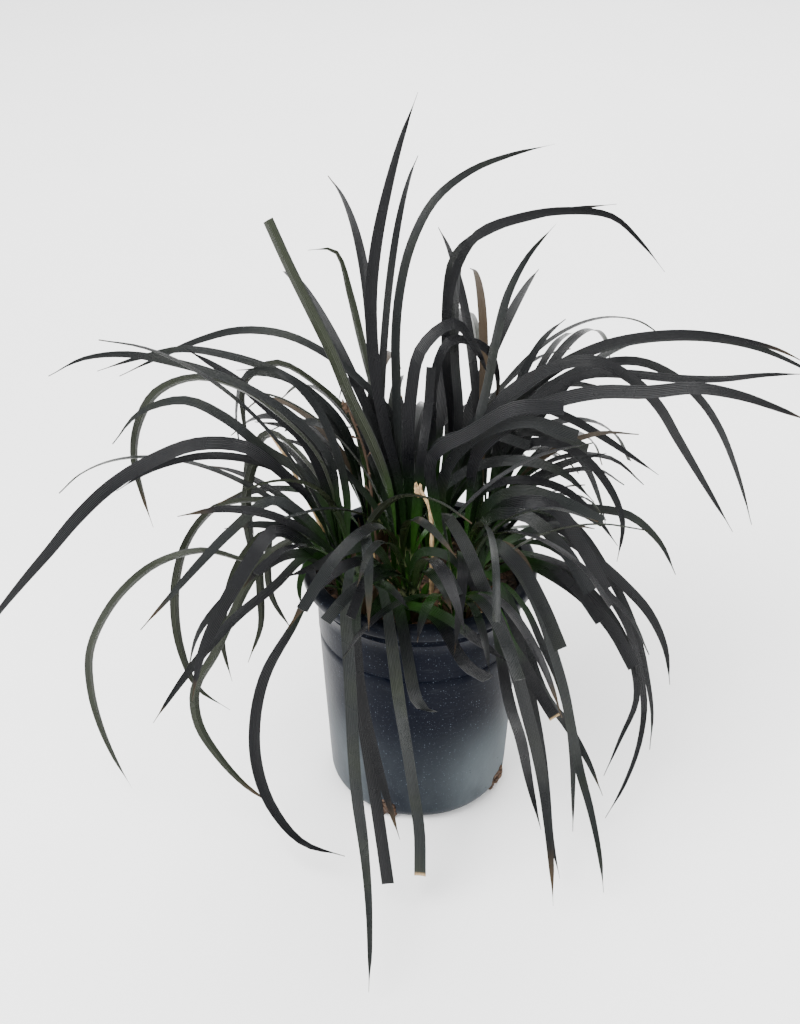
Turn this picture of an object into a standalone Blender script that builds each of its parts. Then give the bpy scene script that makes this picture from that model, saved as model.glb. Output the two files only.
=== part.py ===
"""Black mondo grass in its nursery pot, in metres, +Z up, standing on its base at the origin.

The viewer of the reference picture stands at -Y. Leaves that the picture shows are traced there as picture
points and placed in depth; the others follow a seeded rule. Every leaf is bent clear of its neighbours.
"""

import math
import random
from dataclasses import dataclass, field

import bmesh
import bpy
from mathutils import Matrix, Vector
from mathutils.bvhtree import BVHTree

MM = 0.001

# Driving dimensions of the pot, in millimetres
RIM_RADIUS = 60.0
POT_HEIGHT = 138.0
RIM_BAND = 7.0
NECK_RADIUS = 53.6
BASE_RADIUS = 47.6
WALL = 1.5
CORNER_RADIUS = 9.0
LEDGE_HEIGHT = 101.0
LEDGE_STEP = 0.8
BEAD_HEIGHT = 124.0
BEAD_OUT = 0.9
POT_SIDES = 40
DRAIN_WIDTH = 15.0
DRAIN_HEIGHT = 11.0
DRAIN_FIRST = 246.0
DRAIN_COUNT = 4

# Potting mix
GAP = 0.3
SOIL_HEIGHT = 119.0
SOIL_SIDES = 30
SOIL_RINGS = 5
SOIL_MOUND = 4.0
SOIL_BUMP = 1.3

# Crowns: where each tuft stands on the soil, in millimetres
CROWNS = {
    "tuft_middle": (-7.0, 3.0),
    "tuft_front": (-4.0, -26.0),
    "tuft_front_left": (-28.5, -28.5),
    "tuft_right": (20.0, -8.0),
    "tuft_left": (-35.0, -8.0),
    "tuft_back_left": (-23.0, 25.0),
    "tuft_back": (8.0, 31.0),
    "tuft_back_right": (33.0, 18.0),
    "tuft_front_right": (18.0, -35.0),
}
CROWN_RADIUS = 8.5
CROWN_TOP_RADIUS = 5.5
CROWN_DEPTH = 14.0
CROWN_RISE = 24.0
CROWN_SIDES = 9
CROWN_TURNS = (0.0, 7.0, 13.0, 19.0, 26.0, 31.0)
JOIN_CHECK = 0.000001
CROWN_FIRST_TURN = {"tuft_front": 3.0}

# Leaf blades
KEEL = 0.95
ROOT_SHARE = 0.5
CLEARANCE = 0.45
SEGMENT_LENGTH = 23.6
FEWEST_SEGMENTS = 5
MOST_SEGMENTS = 13
FLOOR_CLEARANCE = 2.5
SHARED_ROOT = 24.0

# How the reference picture looks at the pot, for placing the traced leaves
PICTURE_CENTRE = (400.0, 512.0)
VIEW_DISTANCE = 800.0
VIEW_ELEVATION = math.radians(33.7)
VIEW_TARGET = Vector((-10.0, 0.0, 167.0))
VIEW_LENS = 1602.0


@dataclass(frozen=True)
class Blade:
    """One leaf traced on the picture, from the crown outwards."""

    tuft: str
    depth: float
    width: float
    trace: tuple
    roll: float = 0.0
    twist: float = 0.0
    cut: bool = False


@dataclass
class Shape:
    """A leaf as it stands: its centre line, the way its flat side turns and its width."""

    tuft: str
    points: list
    side: list
    width: float
    cut: bool
    full_tree: object = None
    outer_tree: object = None
    low: Vector = field(default_factory=Vector)
    high: Vector = field(default_factory=Vector)


TRACED = (
    # Large leaves that have first choice of the space
    Blade(
        "tuft_right", 20, 7.2,
        (
            (478, 450), (520, 420), (570, 395), (610, 392), (654, 392), (694, 388), (734, 394),
            (774, 407), (816, 424),
        ),
        5, 0,
    ),
    Blade(
        "tuft_back", 80, 4.4,
        (
            (452, 440), (446, 360), (449, 300), (468, 243), (515, 219), (560, 212), (591, 210),
            (625, 225), (665, 272),
        ),
        30, 20,
    ),
    Blade(
        "tuft_back_right", 40, 5.0,
        (
            (500, 430), (540, 400), (580, 376), (627, 374), (667, 378), (721, 379), (762, 375),
            (812, 374),
        ),
        0, 0,
    ),
    Blade(
        "tuft_front_left", -92, 6.6,
        (
            (345, 590), (319, 597), (301, 617), (278, 650), (262, 684), (255, 721), (255, 753),
            (262, 785), (278, 817), (303, 843), (324, 853), (345, 856),
        ),
        5, 15,
    ),
    Blade(
        "tuft_front_left", -52, 5.4,
        (
            (312, 536), (285, 545), (262, 560), (240, 600), (214, 655), (192, 700), (207, 739),
            (230, 770), (257, 795), (280, 809),
        ),
        5, 60,
    ),
    Blade(
        "tuft_front_left", -108, 6.2,
        (
            (366, 584), (358, 562), (351, 590), (354, 640), (360, 700), (370, 764), (378, 814),
            (383, 850), (388, 884),
        ),
        0, 0, cut=True,
    ),
    Blade(
        "tuft_back_left", 45, 4.6,
        (
            (395, 430), (368, 388), (331, 357), (287, 335), (248, 330), (218, 334), (184, 346),
            (149, 362), (119, 376),
        ),
        10, 10,
    ),
    Blade(
        "tuft_right", 34, 6.0,
        (
            (480, 430), (515, 392), (550, 368), (587, 360), (614, 369), (648, 392), (675, 434),
            (707, 488), (733, 532),
        ),
        5, 20,
    ),
    Blade(
        "tuft_back_right", 44, 5.0,
        (
            (510, 430), (560, 380), (610, 362), (651, 364), (683, 383), (707, 408), (726, 442),
            (742, 488), (752, 525),
        ),
        5, 10,
    ),
    Blade(
        "tuft_front_right", -92, 5.0,
        (
            (470, 570), (480, 560), (500, 590), (518, 640), (532, 700), (544, 770), (550, 830),
            (560, 879),
        ),
        10, 10,
    ),
    Blade(
        "tuft_left", 30, 5.6,
        (
            (330, 480), (300, 432), (276, 413), (241, 388), (195, 377), (165, 386), (149, 401),
            (138, 424), (133, 447), (138, 479), (145, 502), (153, 527),
        ),
        5, 10,
    ),
    Blade(
        "tuft_left", 8, 5.4,
        (
            (318, 505), (296, 470), (280, 452), (262, 455), (250, 475), (246, 510), (252, 548),
            (262, 590),
        ),
        20, 20,
    ),
    # Upright leaves at the back
    Blade(
        "tuft_middle", 70, 6.0,
        ((402, 500), (385, 427), (375, 371), (371, 309), (376, 246), (395, 160), (418, 92)), 70, -40,
    ),
    Blade(
        "tuft_middle", 95, 4.6,
        (
            (400, 480), (397, 412), (396, 353), (397, 309), (412, 242), (444, 189), (495, 160),
            (555, 144),
        ),
        35, 30,
    ),
    Blade(
        "tuft_middle", 55, 6.4,
        ((392, 500), (368, 433), (347, 391), (327, 342), (297, 283), (268, 220)), 60, 0, cut=True,
    ),
    Blade(
        "tuft_back_left", 70, 5.0,
        (
            (396, 480), (385, 427), (368, 368), (356, 318), (343, 268), (330, 242), (318, 238),
            (308, 250),
        ),
        40, 20,
    ),
    Blade(
        "tuft_back", 120, 4.6,
        ((456, 418), (448, 353), (446, 309), (456, 254), (488, 230), (553, 212), (617, 204)), 30, 0,
    ),
    Blade("tuft_back", 75, 5.4, ((458, 430), (456, 383), (454, 324), (457, 263)), 70, 0, cut=True),
    Blade(
        "tuft_back", 60, 5.2,
        (
            (462, 420), (473, 368), (479, 333), (497, 289), (523, 260), (546, 252), (567, 257),
            (586, 275),
        ),
        40, 20,
    ),
    Blade(
        "tuft_back_right", 90, 4.6,
        ((478, 430), (488, 383), (497, 336), (512, 283), (532, 251), (556, 224)), 40, 0,
    ),
    Blade(
        "tuft_middle", 40, 6.2,
        ((408, 440), (413, 383), (424, 342), (441, 324), (459, 325), (473, 342), (490, 380)), 50, 10,
    ),
    Blade(
        "tuft_back", 50, 4.8,
        ((432, 400), (440, 352), (458, 338), (478, 342), (491, 355), (498, 380), (494, 412)), 30, 10,
    ),
    Blade("tuft_middle", 30, 4.6, ((420, 470), (427, 420), (431, 367)), 20, 0, cut=True),
    Blade(
        "tuft_back_left", 60, 5.0,
        ((392, 470), (372, 420), (352, 385), (346, 373), (340, 380), (339, 398)), 40, 30,
    ),
    Blade("tuft_middle", 60, 5.6, ((412, 470), (404, 440), (404, 405), (397, 395)), 60, 0, cut=True),
    # Upper left fountain
    Blade(
        "tuft_back_left", 30, 4.8,
        ((350, 440), (310, 392), (275, 371), (230, 356), (184, 349), (138, 358), (97, 371)), 5, 0,
    ),
    Blade(
        "tuft_left", 20, 4.6,
        (
            (330, 460), (275, 405), (230, 380), (195, 368), (149, 357), (110, 354), (76, 361),
            (48, 376),
        ),
        5, 15,
    ),
    Blade(
        "tuft_left", 10, 6.8, ((322, 470), (290, 424), (253, 396), (230, 376), (209, 358), (184, 348)),
        10, 0,
    ),
    Blade(
        "tuft_left", 0, 5.6,
        (
            (318, 490), (276, 458), (253, 440), (230, 421), (195, 403), (172, 400), (147, 408),
            (129, 422), (112, 444),
        ),
        5, 25,
    ),
    Blade(
        "tuft_left", -22, 7.2,
        (
            (318, 510), (298, 490), (271, 461), (248, 448), (218, 441), (184, 448), (138, 468),
            (92, 502), (46, 555), (0, 610), (-24, 650),
        ),
        12, 0,
    ),
    Blade(
        "tuft_left", -12, 4.2,
        ((310, 500), (280, 470), (248, 459), (218, 457), (184, 458), (149, 471), (116, 491)), 0, 10,
    ),
    Blade(
        "tuft_back_left", 50, 4.4,
        (
            (360, 440), (340, 405), (318, 385), (290, 366), (270, 363), (252, 372), (241, 392),
            (244, 420), (250, 450),
        ),
        20, 10,
    ),
    Blade(
        "tuft_back_left", 30, 5.0,
        (
            (352, 460), (325, 410), (300, 385), (272, 372), (250, 372), (238, 390), (236, 420),
            (240, 452),
        ),
        20, 10,
    ),
    Blade(
        "tuft_left", 26, 4.6, ((345, 480), (328, 432), (312, 400), (290, 378), (262, 366), (236, 370)),
        10, 0,
    ),
    Blade(
        "tuft_back_left", 20, 5.2, ((370, 470), (345, 440), (330, 425), (308, 422), (285, 428)), 30, 0,
        cut=True,
    ),
    Blade(
        "tuft_left", 16, 5.0,
        (
            (330, 500), (305, 460), (290, 440), (275, 432), (258, 440), (250, 460), (248, 500),
            (255, 540),
        ),
        20, 15,
    ),
    # Lower left
    Blade(
        "tuft_front_left", -42, 5.0,
        (
            (300, 545), (275, 560), (250, 560), (230, 553), (202, 550), (174, 555), (138, 575),
            (112, 605), (99, 626), (89, 656), (90, 684), (97, 716), (113, 755), (132, 788),
        ),
        5, 30,
    ),
    Blade(
        "tuft_left", -30, 5.4,
        (
            (300, 512), (264, 500), (230, 502), (207, 513), (188, 539), (179, 564), (174, 598),
            (177, 628), (184, 660), (198, 688), (209, 703), (230, 710),
        ),
        5, 10,
    ),
    Blade(
        "tuft_front_left", -34, 5.2,
        ((310, 520), (275, 500), (253, 513), (230, 532), (207, 555), (174, 592), (140, 630)), 10, 0,
    ),
    Blade(
        "tuft_front_left", -48, 7.4,
        (
            (302, 540), (282, 528), (262, 541), (248, 564), (230, 596), (213, 625), (201, 655),
            (194, 685), (192, 701),
        ),
        15, 0,
    ),
    Blade(
        "tuft_front_left", -66, 5.2,
        (
            (335, 555), (321, 548), (300, 561), (278, 583), (244, 610), (216, 638), (188, 672),
            (170, 698), (153, 723),
        ),
        8, 0,
    ),
    Blade(
        "tuft_front_left", -38, 4.4,
        ((310, 552), (290, 556), (271, 563), (243, 584), (212, 612), (195, 640), (188, 668)), 10, 10,
    ),
    Blade(
        "tuft_left", -20, 4.6,
        ((300, 530), (276, 520), (262, 540), (260, 583), (262, 620), (248, 662)), 20, 30,
    ),
    Blade(
        "tuft_left", -26, 4.2,
        ((290, 540), (262, 532), (240, 560), (224, 610), (223, 647), (232, 681)), 20, 30,
    ),
    Blade("tuft_left", -16, 4.0, ((290, 520), (272, 530), (268, 570), (276, 610), (292, 630)), 20, 20),
    Blade("tuft_left", -30, 4.0, ((325, 560), (312, 560), (303, 572), (299, 590), (301, 605)), 10, 10),
    # Front, hanging over the rim
    Blade(
        "tuft_front_left", -136, 6.0,
        (
            (362, 580), (353, 560), (346, 574), (346, 614), (350, 680), (354, 761), (359, 814),
            (367, 868), (371, 921), (370, 972),
        ),
        0, 30,
    ),
    Blade(
        "tuft_front_left", -92, 5.4,
        (
            (370, 590), (364, 576), (357, 600), (357, 655), (364, 710), (376, 760), (388, 801),
            (400, 840),
        ),
        0, 15,
    ),
    Blade(
        "tuft_front", -106, 6.0,
        (
            (384, 610), (380, 602), (384, 630), (393, 665), (399, 694), (407, 747), (415, 801),
            (420, 835), (424, 853), (420, 876),
        ),
        0, 10, cut=True,
    ),
    Blade(
        "tuft_front", -86, 6.0,
        ((374, 640), (380, 632), (394, 656), (407, 678), (424, 700), (432, 707)), 10, 0, cut=True,
    ),
    Blade(
        "tuft_front", -86, 6.2, ((392, 625), (399, 620), (420, 637), (450, 651), (487, 677)), 10, 0,
        cut=True,
    ),
    Blade(
        "tuft_front", -84, 5.4,
        ((400, 602), (424, 607), (447, 618), (470, 634), (492, 652), (508, 662)), 0, 0,
    ),
    Blade("tuft_front", -60, 5.6, ((376, 548), (354, 546), (330, 562), (300, 570), (286, 577)), 5, 0),
    Blade("tuft_front", -58, 5.4, ((392, 600), (380, 568), (362, 560), (348, 580), (352, 618)), 10, 20),
    Blade("tuft_front", -46, 6.0, ((382, 572), (368, 556), (372, 572), (386, 592), (400, 620)), 25, 0),
    Blade(
        "tuft_left", -60, 6.2,
        ((312, 512), (298, 508), (302, 545), (316, 586), (333, 622), (345, 655)), 15, 0,
    ),
    Blade("tuft_left", -56, 6.0, ((322, 530), (305, 520), (322, 548), (342, 590), (356, 620)), 20, 0),
    Blade(
        "tuft_front", -50, 4.6,
        ((410, 580), (412, 560), (430, 550), (452, 560), (470, 585), (486, 620)), 10, 10,
    ),
    Blade("tuft_front", -60, 5.2, ((398, 600), (390, 590), (378, 604), (370, 618)), 20, 0, cut=True),
    # Front right, hanging
    Blade(
        "tuft_front_right", -96, 6.4,
        (
            (448, 560), (444, 512), (452, 520), (470, 555), (486, 595), (493, 611), (509, 648),
            (522, 694), (536, 747), (545, 800), (550, 898),
        ),
        20, 15,
    ),
    Blade(
        "tuft_front_right", -98, 6.0,
        (
            (446, 560), (456, 540), (476, 565), (497, 600), (512, 640), (526, 700), (538, 760),
            (536, 805), (520, 855), (487, 894),
        ),
        10, 20,
    ),
    Blade(
        "tuft_front_right", -78, 5.4,
        (
            (490, 560), (486, 540), (508, 560), (530, 588), (549, 640), (562, 680), (576, 753),
            (589, 814), (597, 880),
        ),
        10, 10,
    ),
    Blade(
        "tuft_front_right", -74, 6.4,
        ((488, 548), (496, 540), (520, 565), (540, 600), (552, 625), (561, 649)), 15, 0, cut=True,
    ),
    Blade(
        "tuft_front_right", -70, 5.2,
        ((480, 600), (496, 620), (525, 667), (557, 710), (584, 753), (603, 796)), 5, 0,
    ),
    Blade(
        "tuft_front_right", -74, 5.8, ((470, 610), (490, 620), (515, 650), (538, 690), (555, 718)), 10,
        0, cut=True,
    ),
    Blade(
        "tuft_front_right", -60, 4.0,
        ((500, 580), (515, 590), (540, 640), (562, 690), (572, 747), (573, 832)), 10, 20,
    ),
    Blade(
        "tuft_front_right", -82, 5.6,
        ((462, 620), (480, 630), (500, 680), (515, 720), (524, 760), (541, 830)), 10, 10,
    ),
    # Right, low and middle
    Blade(
        "tuft_right", -44, 6.8,
        ((500, 550), (520, 555), (541, 568), (565, 585), (589, 600), (610, 625), (634, 667)), 20, 0,
        cut=True,
    ),
    Blade(
        "tuft_right", -30, 5.8,
        (
            (500, 520), (530, 520), (565, 530), (600, 565), (632, 592), (656, 624), (667, 655),
            (670, 685),
        ),
        5, 10,
    ),
    Blade(
        "tuft_right", -22, 4.6,
        (
            (500, 500), (530, 500), (565, 515), (600, 560), (629, 614), (643, 659), (652, 710),
            (650, 750),
        ),
        5, 10,
    ),
    Blade(
        "tuft_right", -34, 4.4,
        (
            (510, 540), (545, 545), (590, 575), (625, 620), (641, 680), (643, 721), (627, 764),
            (601, 812),
        ),
        5, 20,
    ),
    Blade(
        "tuft_right", -40, 4.2,
        ((505, 560), (545, 560), (590, 590), (625, 640), (637, 694), (621, 737), (604, 776)), 5, 20,
    ),
    Blade(
        "tuft_back_right", 10, 4.6,
        ((510, 500), (545, 505), (589, 508), (622, 512), (648, 530), (668, 553), (676, 575)), 5, 10,
    ),
    Blade(
        "tuft_back_right", 14, 4.8,
        ((510, 460), (545, 440), (576, 452), (600, 474), (616, 501), (624, 533), (617, 562)), 10, 15,
    ),
    Blade(
        "tuft_right", -12, 5.6, ((490, 500), (520, 490), (550, 497), (580, 508), (603, 522)), 10, 0,
        cut=True,
    ),
    Blade(
        "tuft_right", -30, 7.0,
        ((490, 520), (520, 500), (550, 505), (572, 530), (590, 560), (606, 590)), 20, 0, cut=True,
    ),
    Blade(
        "tuft_right", -36, 6.4,
        ((480, 530), (500, 512), (530, 518), (560, 545), (578, 570), (590, 592)), 20, 0, cut=True,
    ),
    Blade(
        "tuft_right", -8, 4.4,
        ((480, 490), (510, 480), (545, 482), (580, 500), (606, 530), (618, 546)), 5, 0,
    ),
    Blade(
        "tuft_right", -50, 5.0, ((500, 570), (530, 560), (560, 572), (585, 600), (600, 622)), 10, 0,
        cut=True,
    ),
    Blade(
        "tuft_right", -24, 6.2,
        ((470, 470), (490, 450), (512, 456), (532, 480), (548, 510), (560, 545), (568, 602)), 30, 0,
    ),
    Blade(
        "tuft_back_right", 20, 4.4,
        ((500, 450), (530, 432), (560, 440), (585, 465), (600, 500), (606, 525)), 10, 10,
    ),
    Blade(
        "tuft_back_right", 24, 4.2, ((500, 440), (528, 425), (548, 432), (562, 455), (570, 490)), 10,
        10,
    ),
    Blade(
        "tuft_back_right", 30, 5.8, ((480, 440), (505, 420), (530, 422), (560, 435), (588, 450)), 10,
        0, cut=True,
    ),
    # Upper right fountain
    Blade(
        "tuft_back_right", 55, 4.8,
        (
            (480, 440), (510, 400), (545, 374), (560, 364), (600, 346), (640, 337), (689, 334),
            (734, 339), (774, 348), (812, 366),
        ),
        5, 5,
    ),
    Blade(
        "tuft_back_right", 70, 4.4,
        (
            (490, 440), (525, 395), (560, 368), (600, 348), (645, 340), (690, 337), (734, 342),
            (780, 356), (830, 384),
        ),
        5, 5,
    ),
    Blade(
        "tuft_back_right", 50, 4.2,
        ((500, 420), (540, 385), (580, 372), (627, 363), (667, 364), (714, 371)), 5, 0,
    ),
    Blade(
        "tuft_right", 26, 5.6,
        (
            (490, 440), (540, 395), (590, 372), (627, 375), (654, 392), (680, 412), (700, 440),
            (721, 471), (752, 513),
        ),
        5, 20,
    ),
    Blade(
        "tuft_back", 50, 5.0,
        ((470, 450), (500, 415), (530, 404), (560, 414), (590, 429), (627, 453), (659, 475)), 5, 0,
    ),
    Blade(
        "tuft_back", 40, 6.2, ((456, 450), (490, 410), (520, 395), (555, 394), (583, 398)), 10, 0,
        cut=True,
    ),
    Blade(
        "tuft_right", 10, 6.8,
        ((430, 470), (450, 445), (478, 428), (505, 412), (540, 402), (564, 408)), 35, 0, cut=True,
    ),
    Blade(
        "tuft_right", 4, 6.0, ((440, 490), (452, 460), (480, 434), (512, 422), (545, 424), (578, 436)),
        25, 0, cut=True,
    ),
    Blade("tuft_back", 60, 4.6, ((470, 430), (500, 400), (540, 386), (580, 384), (620, 394)), 5, 0),
    Blade(
        "tuft_middle", 10, 5.4,
        ((424, 470), (438, 445), (456, 437), (476, 433), (500, 436), (530, 446)), 10, 0, cut=True,
    ),
)

# Leaves that the picture hides or shows only in part, per tuft
FILL_SEED = 23
FILL_TRIES = 26
FILL_COUNT = {
    "tuft_middle": 12,
    "tuft_front": 8,
    "tuft_front_left": 7,
    "tuft_right": 8,
    "tuft_left": 7,
    "tuft_back_left": 13,
    "tuft_back": 14,
    "tuft_back_right": 13,
    "tuft_front_right": 9,
}
FILL_LENGTH = (85.0, 225.0)
FILL_WIDTH = (4.2, 6.4)
FILL_LIFT = (66.0, 88.0)
FILL_FALL = (-78.0, 5.0)
FILL_SWEEP = 16.0
FILL_SPREAD = 62.0
FILL_CUT_SHARE = 0.16
FILL_STATIONS = 9
FILL_FRONT_SHARE = 0.68
# How far the depth of a traced leaf's tip may be moved to clear its neighbours, and how it grows
DEPTH_REACHES = (0, 5, 10, 16, 23, 31, 40)
DEPTH_CURVES = (1.1, 0.8, 1.5)
PULL_ROUNDS = 26
PULL_UP_REACH = 5.0
PULL_STEP = 1.4
ROOT_FREE = 14.0
ROOT_LIFT = 13.0

# Dry pieces: each stands in the soil at the given place, through points in millimetres


@dataclass(frozen=True)
class Dry:
    """A dead stalk or straw-coloured blade, with the places it passes through."""

    name: str
    path: tuple
    radius: float
    tint: str
    pedicels: int = 0


DRY_PIECES = (
    Dry(
        "spent_flower_stalk",
        ((-21, 7, 114), (-21, 7, 126), (-23, 12, 150), (-27, 22, 185), (-37, 28, 214)),
        1.0, "stalk", 7,
    ),
    Dry(
        "dry_straw_left",
        ((-44, 9, 114), (-44, 9, 126), (-50, 10, 150), (-66, 12, 190), (-74, 14, 204)),
        1.3, "straw",
    ),
    Dry(
        "dry_straw_middle",
        ((6, -9, 114), (6, -9, 126), (6, -8, 145), (5, -4, 170), (-1, 0, 182)),
        1.5, "straw",
    ),
    Dry("dry_straw_front", ((-20, -8, 114), (-20, -8, 124), (-21, -8, 134), (-24, -6, 148)), 1.2, "straw"),
)
PEDICEL_LENGTH = 4.5
PEDICEL_RADIUS = 0.55
PEDICEL_SPAN = (0.45, 0.96)
HOLE_SIDES = 12
HOLE_DEPTH = 9.0


def clear_scene():
    """Removes whatever objects the scene holds."""
    for obj in list(bpy.data.objects):
        bpy.data.objects.remove(obj)


def material(name, colour, roughness):
    """A plain Principled material."""
    made = bpy.data.materials.new(name)
    made.use_nodes = True
    shader = made.node_tree.nodes["Principled BSDF"]
    shader.inputs["Base Color"].default_value = (*colour, 1.0)
    shader.inputs["Roughness"].default_value = roughness
    shader.inputs["Metallic"].default_value = 0.0
    return made


def add_object(name, mesh, finish=None):
    """Links a mesh to the scene as an object."""
    obj = bpy.data.objects.new(name, mesh)
    bpy.context.scene.collection.objects.link(obj)
    if finish:
        mesh.materials.append(finish)
    return obj


def mesh_from(name, points, faces):
    """A mesh from points in millimetres."""
    mesh = bpy.data.meshes.new(name)
    mesh.from_pydata([Vector(p) * MM for p in points], [], faces)
    mesh.validate()
    return mesh


def outward(mesh):
    """Turns the faces of a closed mesh outwards."""
    work = bmesh.new()
    work.from_mesh(mesh)
    bmesh.ops.recalc_face_normals(work, faces=work.faces)
    work.to_mesh(mesh)
    work.free()


def lathe(name, profile, sides):
    """Turns (radius, height) points round the Z axis, with a flat face inside the first and last ring."""
    points, faces = [], []
    for i in range(sides):
        angle = math.tau * i / sides
        points += [(r * math.cos(angle), r * math.sin(angle), z) for r, z in profile]
    count = len(profile)
    for i in range(sides):
        here, there = i * count, (i + 1) % sides * count
        for k in range(count - 1):
            faces.append((here + k, there + k, there + k + 1, here + k + 1))
    faces.append([i * count for i in reversed(range(sides))])
    faces.append([i * count + count - 1 for i in range(sides)])
    mesh = mesh_from(name, points, faces)
    outward(mesh)
    return mesh


def wall_radius(height):
    """Outer radius of the plain tapered wall at a height."""
    share = (height - CORNER_RADIUS) / (POT_HEIGHT - RIM_BAND - CORNER_RADIUS)
    return BASE_RADIUS + (NECK_RADIUS - BASE_RADIUS) * share


def outer_profile():
    """The pot's outside from the base centre's edge to the rim's top."""
    foot = wall_radius(CORNER_RADIUS) - CORNER_RADIUS
    corner = [
        (foot + CORNER_RADIUS * math.sin(a), CORNER_RADIUS * (1 - math.cos(a)))
        for a in (math.radians(d) for d in (0, 45, 90))
    ]
    below_rim = POT_HEIGHT - RIM_BAND
    ledge = [
        (wall_radius(LEDGE_HEIGHT) - LEDGE_STEP, LEDGE_HEIGHT - 1.2),
        (wall_radius(LEDGE_HEIGHT) + 0.2, LEDGE_HEIGHT),
    ]
    bead = [
        (wall_radius(BEAD_HEIGHT), BEAD_HEIGHT - 1.6),
        (wall_radius(BEAD_HEIGHT) + BEAD_OUT, BEAD_HEIGHT),
        (wall_radius(BEAD_HEIGHT), BEAD_HEIGHT + 1.6),
    ]
    rim = [
        (NECK_RADIUS, below_rim - 1.5),
        (RIM_RADIUS - 1.2, below_rim),
        (RIM_RADIUS, below_rim + 1.2),
        (RIM_RADIUS, POT_HEIGHT - 2.0),
        (RIM_RADIUS - 1.2, POT_HEIGHT - 0.4),
        (RIM_RADIUS - 3.0, POT_HEIGHT),
    ]
    return corner + ledge + bead + rim


def inner_profile():
    """The pot's inside, from the rim's top down to the floor."""
    foot = wall_radius(CORNER_RADIUS) - CORNER_RADIUS
    bend = CORNER_RADIUS - WALL
    lip = [
        (NECK_RADIUS - WALL + 1.5, POT_HEIGHT - 1.0),
        (NECK_RADIUS - WALL - 0.2, POT_HEIGHT - 4.0),
    ]
    corner = [
        (foot + bend * math.sin(a), CORNER_RADIUS - bend * math.cos(a))
        for a in (math.radians(d) for d in (90, 50, 0))
    ]
    return lip + corner


def boolean(obj, other, operation, solver="EXACT", collection=False):
    """Applies one Boolean and leaves the result in the object's own mesh."""
    made = obj.modifiers.new("join", "BOOLEAN")
    made.operation = operation
    made.solver = solver
    if collection:
        made.operand_type = "COLLECTION"
        made.collection = other
    else:
        made.object = other
    graph = bpy.context.evaluated_depsgraph_get()
    mesh = bpy.data.meshes.new_from_object(obj.evaluated_get(graph))
    obj.modifiers.clear()
    finishes = list(obj.data.materials)
    obj.data = mesh
    mesh.materials.clear()
    for finish in finishes:
        mesh.materials.append(finish)


def smooth(obj, angle=35.0):
    """Shades round pieces smooth, with sharp folds kept."""
    obj.data.shade_smooth()
    obj.data.set_sharp_from_angle(angle=math.radians(angle))


def block(name, centre, size, turn):
    """A box cutter, turned about Z."""
    work = bmesh.new()
    bmesh.ops.create_cube(work, size=1.0)
    place = Matrix.Translation(Vector(centre) * MM) @ Matrix.Rotation(turn, 4, "Z")
    place = place @ Matrix.Diagonal((size[0] * MM, size[1] * MM, size[2] * MM, 1.0))
    bmesh.ops.transform(work, matrix=place, verts=work.verts)
    mesh = bpy.data.meshes.new(name)
    work.to_mesh(mesh)
    work.free()
    return add_object(name, mesh)


def make_pot(finish):
    """The blow-moulded nursery pot with its drainage holes in the bottom corner."""
    profile = outer_profile() + inner_profile()
    pot = add_object("nursery_pot", lathe("nursery_pot", profile, POT_SIDES), finish)
    for i in range(DRAIN_COUNT):
        angle = math.radians(DRAIN_FIRST + 360.0 / DRAIN_COUNT * i)
        reach = BASE_RADIUS - 1.0
        place = (reach * math.cos(angle), reach * math.sin(angle), DRAIN_HEIGHT / 2 + 1.2)
        cutter = block("drain", place, (16.0, DRAIN_WIDTH, DRAIN_HEIGHT), angle)
        boolean(pot, cutter, "DIFFERENCE")
        bpy.data.objects.remove(cutter)
    smooth(pot)
    return pot


def soil_height(x, y):
    """Height of the potting mix: a low mound with rough lumps, level at the wall."""
    reach = min(1.0, math.hypot(x, y) / (NECK_RADIUS - WALL))
    lumps = math.sin(x * 0.41 + 1.3) * math.cos(y * 0.37 - 0.6)
    grit = 0.6 * math.sin(x * 0.93 - y * 0.71) * math.cos(y * 0.88 + x * 0.35)
    return SOIL_HEIGHT + SOIL_MOUND * (1 - reach**2) + SOIL_BUMP * (lumps + grit) * (1 - reach**6)


def inner_radius(height):
    """Inner radius of the pot's wall at a height."""
    foot = wall_radius(CORNER_RADIUS) - CORNER_RADIUS
    top_height = POT_HEIGHT - 4.0
    low = foot + CORNER_RADIUS - WALL
    high = NECK_RADIUS - WALL - 0.2
    return low + (high - low) * (height - CORNER_RADIUS) / (top_height - CORNER_RADIUS)


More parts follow.
